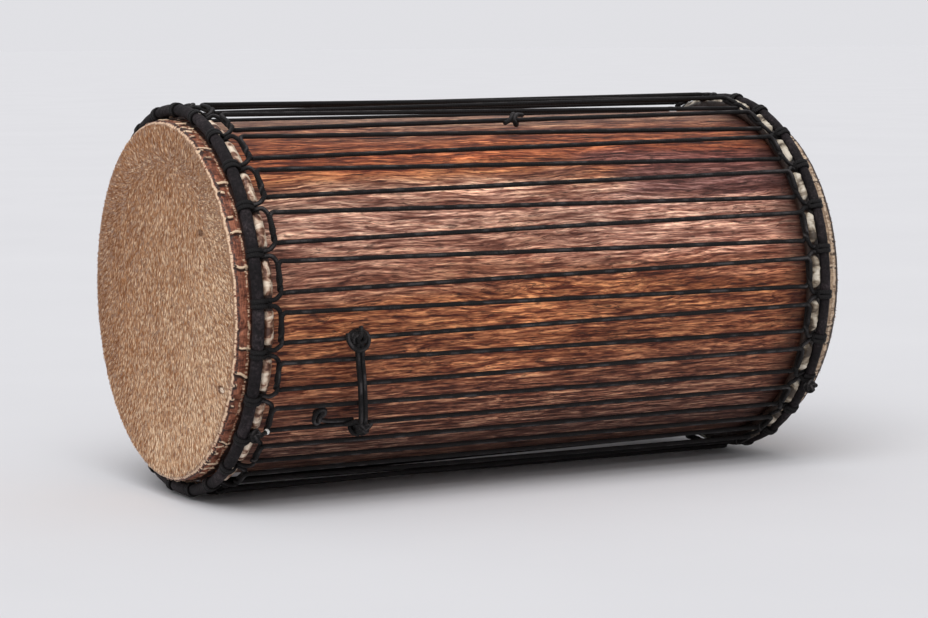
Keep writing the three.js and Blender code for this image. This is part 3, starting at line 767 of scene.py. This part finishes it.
ring_round, ring_inset = 0.1844, 0.01873
ring_rod, hoop_rod = 0.004, 0.003
columns = 240
for end, side, draw in (("near", -1, 0.0), ("far", 1, far_draw)):
    for what, node, inset, round_it, rod in (
            ("hoop_rod", "flesh_hoop", hoop_inset, hoop_round, hoop_rod),
            ("ring_rod", "crown_ring", ring_inset, ring_round, ring_rod)):
        bend = np.linspace(0, 2 * np.pi, 17)[:-1, None]
        x = side * (half_length - draw - inset - rod * np.sin(bend))
        x = np.repeat(x, columns, axis=1)
        radius = np.repeat(round_it + rod * np.cos(bend), columns, axis=1)
        rod_piece = turned_piece(f"{end}_{what}", x, radius, steel)
        if side < 0:
            rod_piece.data.flip_normals()
        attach(rod_piece, "root")
        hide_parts(f"{end}_{node}")

# Black cotton is wound tight over each crown ring and glued, which gives a matt tube with faint seams
# of the winding, a little nipped in under every hitch.
winding, tree, surface = new_finish("black_winding")
coords = place_on(tree)
dust = mottled(tree, coords, (1, 1, 1), 45.0, 4.0)
weave = mottled(tree, coords, (1, 1, 1), 1900.0, 2.0)
seam = kept_value(tree, "seam")
scuffs = mottled(tree, coords, (1, 1, 1), 380.0, 3.0, 0.6)
shade = plus(tree, times(tree, dust, 0.45), weave, 0.30)
shade = plus(tree, shade, scuffs, 0.40)
tone = bands(tree, shade, (0.46, (0.0026, 0.0018, 0.0021)), (0.60, (0.014, 0.0104, 0.0118)),
             (0.72, (0.052, 0.040, 0.044)))
tone = blended(tree, times(tree, seam, 0.6), tone, (0.008, 0.007, 0.008, 1))
give(tree, surface, {"Base Color": tone, "Roughness": 0.75, "Specular IOR Level": 0.18})
raised(tree, surface, plus(tree, weave, scuffs, 1.5), 0.7, 0.0008)

cloth_inner, wraps, split = 0.0043, 58, 0.09
columns, outer_rows, inner_rows = 900, 26, 14
for end, side, hitch_turn, draw, seed, cloth_outer, nip in (
        ("near", -1, 0.0, 0.0, 21, 0.0057, 0.0008),
        ("far", 1, 0.5, far_draw, 22, 0.0051, 0.0002)):
    angle = 2 * np.pi * np.arange(columns) / columns
    bend = np.radians(-90) + np.hstack([np.linspace(split, 2 * np.pi - split, outer_rows),
                                        np.linspace(2 * np.pi - split, split, inner_rows)])
    size = np.hstack([np.full(outer_rows, cloth_outer), np.full(inner_rows, cloth_inner)])
    wound = np.random.default_rng(seed)
    ripple = sum(np.sin(w * angle + wound.uniform(0, 6.28)) for w in (23, 58, 91)) * 0.00006
    turns = (angle[None, :] * wraps / (2 * np.pi) + bend[:outer_rows, None] / (2 * np.pi)) % 1
    lap = np.exp(-((turns - 0.5) / 0.06) ** 2)
    from_hitch = np.abs(((angle / hitch_step - hitch_turn + 0.5) % 1) - 0.5)
    from_hitch = from_hitch * hitch_step * ring_round
    nipped = np.exp(-(from_hitch / 0.0062) ** 4) * nip
    section = np.repeat(size[:, None], columns, axis=1)
    section[:outer_rows] += ripple[None, :] - nipped[None, :] - lap * 0.00016
    inset = ring_inset + section * np.cos(bend)[:, None]
    radius = ring_round + section * np.sin(bend)[:, None]
    cloth = turned_piece(f"{end}_winding", side * (half_length - draw - inset), radius, winding)
    if side < 0:
        cloth.data.flip_normals()
    marks = np.zeros_like(section)
    marks[:outer_rows] = lap
    keep_on(cloth.data, "FLOAT", seam=marks)
    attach(cloth, "root")
    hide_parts(f"{end}_ring_cloth")

# Each cradle is one cord hitched twenty-five times round its ring. A hitch comes up over the skin's
# fold, goes round the ring, crosses its own two legs, goes round again and runs on to the next.
lace_round, run_inset, run_spread = 0.1874, 0.0405, 0.0018
pressed_round, over_hoop = 0.0061, 0.0066
turn_spread, leg_spread, corner_spread, corner_bend = 0.00215, 0.0026, 0.0092, 0.003
neck_inset, neck_spread, side_spread = 0.0355, 0.0034, 0.0014
hitch_pitch = hitch_step * lace_round
swap_length, swap_lead = 0.0075, 0.002
hitch_press, run_press, cord_sides = 0.46, 0.2, 12
near_end, far_end = (-1, 0.0, 0.0), (1, 0.5, far_draw)


def cord_stop(end, hitch, across, inset, radius, top=(0, 1), press=0.0):
    """A stop of a cord at one end of the drum: so far across from a hitch, in from the end, and out
    from the axis. An end is its side, the turn of its hitches and how far its skin is drawn."""
    side, hitch_turn, draw = end
    angle = (hitch + hitch_turn) * hitch_step + across / lace_round
    out = np.array((0, -math.sin(angle), math.cos(angle)))
    spot = out * radius + np.array((side * (half_length - draw - inset), axis_y, axis_z))
    return np.hstack([spot, out * top[1] - np.array((side * top[0], 0, 0)), press])


def turn_stop(end, hitch, across, degrees, standoff):
    """A stop on the wound ring, so many degrees round it."""
    a = math.radians(degrees)
    reach = pressed_round + standoff
    return cord_stop(end, hitch, across, ring_inset + reach * math.cos(a),
                     ring_round + reach * math.sin(a), (-math.cos(a), -math.sin(a)), hitch_press)


def swap_stops(end, hitch, direction):
    """Where a cradle's run and the lacing go half round each other, and which of them is over."""
    start = hitch_pitch - corner_spread - swap_lead - swap_length
    stops = []
    for i in range(5):
        a = math.pi * i / 4
        aside, over = direction * math.sin(a), direction * math.cos(a)
        stops.append(cord_stop(end, hitch, start + swap_length * i / 4,
                               run_inset - side_spread * aside, lace_round + run_spread * over,
                               (-aside, over), run_press + 0.14 * math.sin(a)))
    return stops


def cradle_step(end, hitch):
    """One hitch, and the run to the next one."""
    a = math.radians(30)
    squeeze = (ring_inset + pressed_round * math.cos(a), ring_round - pressed_round * math.sin(a))
    round_ring = ((-90, 0, 0), (-130, 0, 0), (-170, 0, 0), (150, 0, 0), (110, 0, 0), (75, 0, 0),
                  (45, 0.0006, 0.0002), (20, 0.0020, 0.0004))

    def half(hand):
        """One leg of the hitch, from its neck up over the hoop and once round the ring."""
        leg = hand * leg_spread
        return [
            cord_stop(end, hitch, hand * neck_spread, neck_inset, lace_round - 0.001, press=0.15),
            cord_stop(end, hitch, leg, hoop_inset, hoop_round + over_hoop, press=0.26),
            cord_stop(end, hitch, leg, *squeeze, (-math.sin(a), math.cos(a)), hitch_press),
            *(turn_stop(end, hitch, hand * (turn_spread + splay), degrees, lift)
              for degrees, lift, splay in round_ring)]

    over, under = lace_round + run_spread, lace_round - run_spread
    return [*half(-1), turn_stop(end, hitch, 0, -2, 0.0034), *half(1)[::-1],
            cord_stop(end, hitch, corner_spread, run_inset, under, press=run_press),
            *swap_stops(end, hitch, -1),
            cord_stop(end, hitch, hitch_pitch - corner_spread, run_inset, over, press=run_press)]


for name, end, knot_hitch, cut in (("near", near_end, 9, 0), ("far", far_end, 8, 11)):
    stops = [stop for i in range(hitch_count) for stop in cradle_step(end, knot_hitch + i)]
    stops = stops[cut:] + stops[:cut]
    cradle = laid_cord(f"{name}_cradle", [(eased(stops, 0.0015), False)], cord_radius, cord_sides)
    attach(cradle, "root")
    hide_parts(f"{name}_cradle_cord")

# The two ends of each cradle cord are drawn together in a hard round knot, and the near one's cut end
# shows its white core where it was melted off.
melted, tree, surface = new_finish("melted_end")
coords = place_on(tree)
soot = mottled(tree, coords, (1, 1, 1), 700.0, 2.0)
colour = bands(tree, soot, (0.35, (0.42, 0.40, 0.37)), (0.55, (0.86, 0.85, 0.82)))
give(tree, surface, {"Base Color": colour,
                     "Roughness": step_between(tree, soot, 0.3, 0.7, 0.45, 0.25)})
drawn_thin = 0.0021
loose_end = ((-0.3090, -0.1525, 0.0785), (-0.3062, -0.1548, 0.0795), (-0.3030, -0.1545, 0.0811),
             (-0.3006, -0.1538, 0.0820))
for name, middle in (("near", (-0.3110, -0.1512, 0.0782)), ("far", (0.311871, -0.162, 0.084325))):
    middle = np.array(middle)
    routes = [loose_knot(middle, outward_at(middle), (1, 0, 0),
                         hole=0.0, radius=0.0019, spread=0.0019, half_span=0.0048),
              loose_knot(middle, (1, 0, 0), outward_at(middle),
                         hole=0.0, radius=0.0016, spread=0.0014, half_span=0.0044)]
    if name == "near":
        stops = [np.hstack([spot, outward_at(spot), 0.0]) for spot in np.array(loose_end)]
        routes.append((eased(stops, 0.0008), False))
    knot = laid_cord(f"{name}_end_knot", routes, drawn_thin, cord_sides)
    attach(knot, "root")
    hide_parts(f"{name}_cradle_knot")
cap_middle = Vector(loose_end[-1])
cap_ahead = (cap_middle - Vector(loose_end[-2])).normalized()
cap = bmesh.new()
bmesh.ops.create_uvsphere(cap, u_segments=16, v_segments=10, radius=0.0029)
bmesh.ops.scale(cap, vec=(1, 1, 0.75), verts=cap.verts)
bmesh.ops.rotate(cap, matrix=cap_ahead.to_track_quat("Z", "Y").to_matrix(), verts=cap.verts)
bmesh.ops.translate(cap, vec=cap_middle, verts=cap.verts)
cap_mesh = bpy.data.meshes.new("near_melted_end")
cap.to_mesh(cap_mesh)
cap.free()
cap_mesh.materials.append(melted)
cap_mesh.shade_smooth()
cap_piece = placed("near_melted_end", cap_mesh)
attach(cap_piece, "root")

# One cord laces the drum: fifty straight runs from end to end, each led in over a run of the cradle,
# half round it, and out under it, so that pulling any run draws both rings together.
lace_knot_hitch, lace_knot_x, short_of_knot = 2, 0.010, 0.0005


def lace_loop(end, hitch):
    """The lacing's turn at one hitch, from the straight run that comes in to the one that leaves."""
    over, under = lace_round + run_spread, lace_round - run_spread
    last = hitch_pitch - corner_spread
    return [cord_stop(end, hitch, corner_spread, run_inset + corner_bend, over),
            cord_stop(end, hitch, corner_spread + corner_bend, run_inset, over, press=run_press),
            *swap_stops(end, hitch, 1),
            cord_stop(end, hitch, last - corner_bend, run_inset, under, press=run_press),
            cord_stop(end, hitch, last, run_inset + corner_bend, under)]


def straight_rope(near_hitch, far_hitch, hand, x):
    """A stop on one straight run of the lacing, at this place along the drum."""
    inset = run_inset + corner_bend
    a = cord_stop(near_end, near_hitch, hand * corner_spread, inset, lace_round + hand * run_spread)
    b = cord_stop(far_end, far_hitch, -hand * corner_spread, inset, lace_round - hand * run_spread)
    return a + (b - a) * (x - a[0]) / (b[0] - a[0])


laced = [straight_rope(lace_knot_hitch, lace_knot_hitch - 1, -1, lace_knot_x + short_of_knot)]
off_loop = (0.006, 0.02, 0.06, 0.12)
for i in range(hitch_count):
    far_loop = lace_loop(far_end, lace_knot_hitch - 1 + i)
    near_loop = lace_loop(near_end, lace_knot_hitch + i)
    for loop in (far_loop, near_loop):
        before, after = laced[-1], loop[0]
        reach = np.linalg.norm(after[:3] - before[:3])
        for step in (*off_loop, reach / 2, *(reach - short for short in reversed(off_loop))):
            laced.append(before + (after - before) * step / reach)
        laced += loop
last = straight_rope(lace_knot_hitch, lace_knot_hitch - 1, -1, lace_knot_x - short_of_knot)
laced += [laced[-1] + (last - laced[-1]) * share for share in (0.03, 0.2, 0.6)] + [last]


def unevenly(stops, fine, coarse):
    """The smooth route, with its points thinned out wherever the cord runs straight."""
    route = eased(stops, fine)
    kept, since = [0], 0.0
    ahead = np.diff(route[:, :3], axis=0)
    reach = np.linalg.norm(ahead, axis=1)
    ahead /= np.maximum(reach, 1e-9)[:, None]
    heading = ahead[0]
    for i in range(1, len(route) - 1):
        since += reach[i - 1]
        if since > coarse or np.dot(heading, ahead[i]) < 0.9995:
            kept.append(i)
            since, heading = 0.0, ahead[i]
    return route[kept + [len(route) - 1]]


lacing = laid_cord("lacing", [(unevenly(laced, 0.0014, 0.03), False)], cord_radius, cord_sides)
lace_knot_middle = straight_rope(lace_knot_hitch, lace_knot_hitch - 1, -1, lace_knot_x)[:3]
lace_knot_route = (
    (4.8, 3.1, 0.7), (2.8, 2.0, 1.4), (0.9, 1.1, 1.9), (-0.9, -0.7, 2.1), (-2.0, -2.2, 1.1),
    (-1.1, -2.4, -0.6), (0.7, -0.7, -2.0), (1.6, 1.5, -1.2), (0.7, 2.3, 0.8), (-1.3, 1.0, 2.3),
    (-3.1, -1.1, 1.5), (-5.0, -2.6, 0.8), (-7.2, -3.3, 0.3),
)
lace_knot = laid_cord("lacing_end_knot", [tied_round(lace_knot_middle, lace_knot_route, cord_radius)],
                      cord_radius, cord_sides)
for piece, node in ((lacing, "lacing_rope"), (lace_knot, "lacing_knot")):
    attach(piece, "root")
    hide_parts(node)

# A doubled cord is tied round three runs of the lacing near the near end, as a handle for the ends:
# a bulky knot on the upper run, two strands side by side over the next two, and a knot on the lowest.
tie_upper = straight_rope(7, 6, -1, -0.2222)[:3]
tie_lower = straight_rope(9, 8, -1, -0.202)[:3]
tie_line = (
    (1.76621, 0.19444, -0.221425), (1.81088, 0.194121, -0.219465), (1.93645, 0.193700, -0.213957),
    (2.06221, 0.194121, -0.20844), (2.15039, 0.194655, -0.204572), (2.19, 0.1925, -0.2030),
)
strand_radius, half_gap, into_knot = 0.0025, 0.0022, 0.008


def tie_stop(angle, radius, x, sideways, along):
    """A stop of the doubled cord, beside its middle line and a little farther along it."""
    shifted = angle + along / radius
    out = np.array((0, -math.sin(shifted), math.cos(shifted)))
    return np.hstack([out * radius + np.array((x + sideways, axis_y, axis_z)), out, 0.0])


bend = [tie_stop(*tie_line[0], half_gap * math.cos(a), half_gap * (1 - math.sin(a)) - into_knot)
        for a in np.radians((180, 135, 90, 45, 0))]
tie_stops = [tie_stop(*point, -half_gap, 0) for point in tie_line[:0:-1]] + bend
tie_stops += [tie_stop(*point, half_gap, 0) for point in tie_line[1:]]
tie = laid_cord("tie_strands", [(eased(tie_stops, 0.0014), False)], strand_radius, cord_sides)


def knot_about(middle, raised_off, start_up, hole, spread, half_span):
    """A flat knot on a rope: two rounds of the cord that swap places, set a little off the rope.
    Its sizes are in cord radii."""
    out = outward_at(middle)
    along = np.array((1.0, 0.0, 0.0))
    start = start_up * np.cross(out, along) + (1 - abs(start_up)) * along
    start -= out * np.dot(start, out)
    start /= np.linalg.norm(start)
    return loose_knot(middle + out * raised_off * cord_radius, out, start, hole * cord_radius,
                      cord_radius, spread * cord_radius, half_span * cord_radius)


upper_band = (
    (-4.4, 2.4, 1.6), (-4.6, 0.0, 2.8), (-3.2, -2.6, 4.0), (-0.6, -4.3, 4.4), (2.2, -3.8, 4.2),
    (4.3, -1.6, 3.2), (4.4, 1.2, 2.0), (2.6, 2.8, -0.6), (-0.2, 2.0, -2.0), (-2.6, 0.2, -1.0),
    (-3.2, -1.4, 1.4),
)
upper_fill = (
    (2.6, -2.4, 1.6), (0.4, -2.8, 2.6), (-2.0, -1.8, 3.4), (-2.6, 0.6, 3.6), (-0.6, 2.2, 4.0),
    (1.8, 1.6, 4.2), (2.2, -0.6, 4.0), (0.2, -1.4, 3.8), (-0.9, 0.2, 4.4), (-0.2, 2.2, 5.0),
    (0.1, 4.0, 4.6), (0.2, 5.6, 3.8),
)
lower_band = (
    (-4.4, 2.2, 0.6), (-3.0, 1.4, 2.8), (-0.8, 0.4, 4.8), (1.6, -1.0, 4.4), (3.0, -2.2, 2.2),
    (2.0, -2.6, -0.4), (-0.6, -1.6, -2.0), (-3.0, -0.2, -1.2), (-4.2, -1.6, 1.2),
    (-2.8, -3.2, 2.6), (-0.4, -3.4, 3.2),
)
lower_fill = (
    (-7.2, 0.9, 1.2), (-5.4, 2.2, 2.2), (-3.4, 3.4, 2.4), (-1.4, 2.6, 3.4), (0.2, 1.0, 4.6),
    (1.8, 1.2, 4.0), (3.4, 2.4, 2.8), (4.2, 1.2, 2.2), (3.2, -0.6, 2.6), (1.2, -1.0, 3.6),
    (-0.8, -1.6, 3.8), (-2.6, -0.4, 3.4),
)
top_routes = [
    knot_about(tie_upper, raised_off=1.9, start_up=-1.0, hole=0.0, spread=1.3, half_span=1.9),
    knot_about(tie_upper, raised_off=2.6, start_up=0.0, hole=0.4, spread=0.7, half_span=1.6),
    tied_round(tie_upper, upper_band, cord_radius),
    tied_round(tie_upper, upper_fill, cord_radius)]
top_knot = laid_cord("tie_top_knot", top_routes, cord_radius, knot_sides)
bottom_routes = [
    knot_about(tie_lower, raised_off=1.8, start_up=0.0, hole=0.0, spread=0.95, half_span=1.9),
    knot_about(tie_lower, raised_off=3.6, start_up=0.3, hole=0.0, spread=0.8, half_span=1.6),
    tied_round(tie_lower, lower_band, cord_radius),
    tied_round(tie_lower, lower_fill, cord_radius)]
bottom_knot = laid_cord("tie_bottom_knot", bottom_routes, cord_radius, knot_sides)
for piece, node in ((tie, "tie_cord"), (top_knot, "tie_upper_knot"),
                    (bottom_knot, "tie_lower_knot")):
    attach(piece, "root")
    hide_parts(node)

# The hide keeps its short stiff coat on the flat of each head. The hair lies down across the head
# and turns outwards at the edge, paler where it is rubbed, with two small scars on the near head.
hair_finish, tree, surface = new_finish("cow_hair")
tone = kept_value(tree, "tone")
coords = place_on(tree)
root = kept_value(tree, "root", "Vector")
patches = mottled(tree, coords, (1, 1, 1), 22.0, 3.0)
tufts = mottled(tree, root, (1, 1, 1), 380.0, 1.5)
mixed = centred(tree, tone, 0.16)
mixed = plus(tree, mixed, centred(tree, patches, 0.45))
mixed = plus(tree, mixed, centred(tree, tufts, 2.7))
toward = vectors(tree, "DOT_PRODUCT", coords, (0.0, -1.05, -0.85))
mixed = plus(tree, mixed, toward, 0.75)
mixed = plus(tree, mixed, 0.60)
colour = bands(tree, mixed, (0.18, (0.22, 0.082, 0.030)), (0.42, (0.39, 0.188, 0.085)),
               (0.60, (0.56, 0.340, 0.200)), (0.86, (0.85, 0.645, 0.45)))
# The last two marks make the nick on the near head, a dark mark with a pale flap beside it, drawn in
# colour only: partly the scar's own colour, partly the painted highlight and shadow of the raised
# flap.
for scar, size, shade in (((-0.3405, -0.0979, 0.2656), 0.0042, (0.12, 0.052, 0.024, 1)),
                          ((-0.3405, -0.1395, 0.1224), 0.0052, (0.10, 0.038, 0.018, 1)),
                          ((-0.3405, -0.1418, 0.1222), 0.0032, (0.98, 0.84, 0.68, 1))):
    away = vectors(tree, "MULTIPLY", vectors(tree, "SUBTRACT", coords, scar), (1.0, 0.5, 1.0))
    away = vectors(tree, "LENGTH", away)
    colour = blended(tree, step_between(tree, away, size, 0.6 * size), colour, shade)
give(tree, surface, {"Base Color": colour, "Roughness": 0.65, "Specular IOR Level": 0.15})

# Sets one hair on every root, leaning the way that is kept there, with its flat side to the head.
coat, given = tree_with("lay_hair", ("Roots", "Geometry"), ("Hair length", "Float"),
                        ("Hair width", "Float"), ("Finish", "Material"), gives="Coat")
hair = add(coat, "GeometryNodeMeshCone",
           {"Vertices": 3, "Radius Top": 0.0, "Radius Bottom": given["Hair width"],
            "Depth": given["Hair length"]}).outputs[0]
lie, face = remembered(coat, "lie"), remembered(coat, "face")
leaning = add(coat, "FunctionNodeAxesToRotation", {"Primary Axis": lie, "Secondary Axis": face},
              primary_axis="Z", secondary_axis="X").outputs[0]
size = remembered(coat, "size", "FLOAT")
long_and_flat = add(coat, "ShaderNodeCombineXYZ", {"X": 0.45, "Y": 1.0, "Z": size}).outputs[0]
rooted = add(coat, "GeometryNodeInstanceOnPoints",
             {"Points": given["Roots"], "Instance": hair, "Rotation": leaning,
              "Scale": long_and_flat}).outputs[0]
finished(coat, rooted, given["Finish"], "Coat")

hair_count, root_depth, combed_out = 40000, 0.0002, 1.7
head_radius, coat_radius, flat_radius = 0.17, 0.1692, 0.1685
swirls = ((3, 2, 0.4, 0.16), (-5, 4, 1.9, 0.12), (9, 7, 2.7, 0.10), (-14, 17, 0.2, 0.14),
          (37, 21, 1.1, 0.20), (-28, 52, 4.2, 0.20), (83, -47, 2.2, 0.20), (61, 90, 5.3, 0.20))
for end, side, seed in (("near", -1, 31), ("far", 1, 32)):
    grown = np.random.default_rng(seed)
    reach = coat_radius * np.sqrt(grown.uniform(0, 1, hair_count))
    angle = grown.uniform(0, 2 * np.pi, hair_count)
    y, z = reach * np.cos(angle), reach * np.sin(angle)
    swirl = sum(np.sin((y * a + z * b) / head_radius + c) * d for a, b, c, d in swirls)
    heading = swirl + grown.normal(0, 0.28, hair_count)
    zero = np.zeros(hair_count)
    down = np.stack([zero, np.sin(heading), -np.cos(heading)], axis=1)
    from_middle = np.stack([zero, y, z], axis=1) / head_radius
    near_rim = gentle(0.45, 1.0, reach / flat_radius)[:, None]
    lie = down + from_middle * near_rim * combed_out
    lie /= np.linalg.norm(lie, axis=1)[:, None]
    lie[:, 0] = side * np.abs(grown.normal(0.12, 0.06, hair_count))
    lie /= np.linalg.norm(lie, axis=1)[:, None]
    face = np.zeros((hair_count, 3))
    face[:, 0] = side
    shorter = 0.35 * gentle(0.95, 1.0, reach / coat_radius)
    sizes = grown.uniform(0.55, 1.25, hair_count) * (1 - shorter)
    x = np.full(hair_count, side * (half_length - root_depth))
    roots = np.stack([x, axis_y + y, axis_z + z], axis=1)
    start = bpy.data.meshes.new(end + "_roots")
    start.from_pydata(roots.tolist(), [], [])
    tones = grown.uniform(0, 1, hair_count)
    keep_on(start, "FLOAT_VECTOR", lie=lie, face=face, root=roots)
    keep_on(start, "FLOAT", size=sizes, tone=tones)
    hair_piece = made_by(f"{end}_coat", coat, start, Hair_length=0.0050, Hair_width=0.0008,
                         Finish=hair_finish)
    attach(hair_piece, "root")

# A plain pale floor that keeps the drum's shadow, white all round, and soft daylight from above, a
# little more of it from the camera's side.
pale, tree, surface = new_finish("pale_floor")
coords = place_on(tree)
cloudy = mottled(tree, coords, (1, 1, 1), 2.0)
colour = bands(tree, cloudy, (0.3, (0.74, 0.74, 0.77)), (0.7, (0.76, 0.76, 0.79)))
give(tree, surface, {"Base Color": colour, "Roughness": 1.0, "Specular IOR Level": 0.0})
floor_mesh = bpy.data.meshes.new("floor")
floor_mesh.from_pydata([(-60, -60, 0), (60, -60, 0), (60, 60, 0), (-60, 60, 0)], [], [(0, 1, 2, 3)])
floor_mesh.materials.append(pale)
floor = placed("floor", floor_mesh)

world = bpy.data.worlds.new("daylight")
bpy.context.scene.world = world
world.use_nodes = True
tree = world.node_tree
tree.nodes.clear()
ray = add(tree, "ShaderNodeLightPath").outputs
seen = maths(tree, "MAXIMUM", ray["Is Camera Ray"], ray["Is Glossy Ray"])
seen = maths(tree, "MAXIMUM", seen, ray["Is Transmission Ray"])
dim = add(tree, "ShaderNodeBackground", {"Color": (1.0, 1.0, 1.0, 1), "Strength": 0.5})
white = add(tree, "ShaderNodeBackground", {"Color": (0.75, 0.75, 0.78, 1), "Strength": 1.0})
both = add(tree, "ShaderNodeMixShader", {0: seen, 1: dim.outputs[0], 2: white.outputs[0]})
add(tree, "ShaderNodeOutputWorld", {"Surface": both.outputs[0]})

for name, comes_from, strength, spread in (("daylight_above", (-0.35, -0.45, 0.82), 1.75, 50),
                                           ("daylight_front", (-0.60, -0.75, 0.25), 0.5, 90)):
    lamp = bpy.data.lights.new(name, "SUN")
    lamp.energy, lamp.angle = strength, math.radians(spread)
    placed(name, lamp).rotation_euler = Vector(comes_from).to_track_quat("Z", "Y").to_euler()

bpy.context.scene.view_settings.view_transform = "Standard"
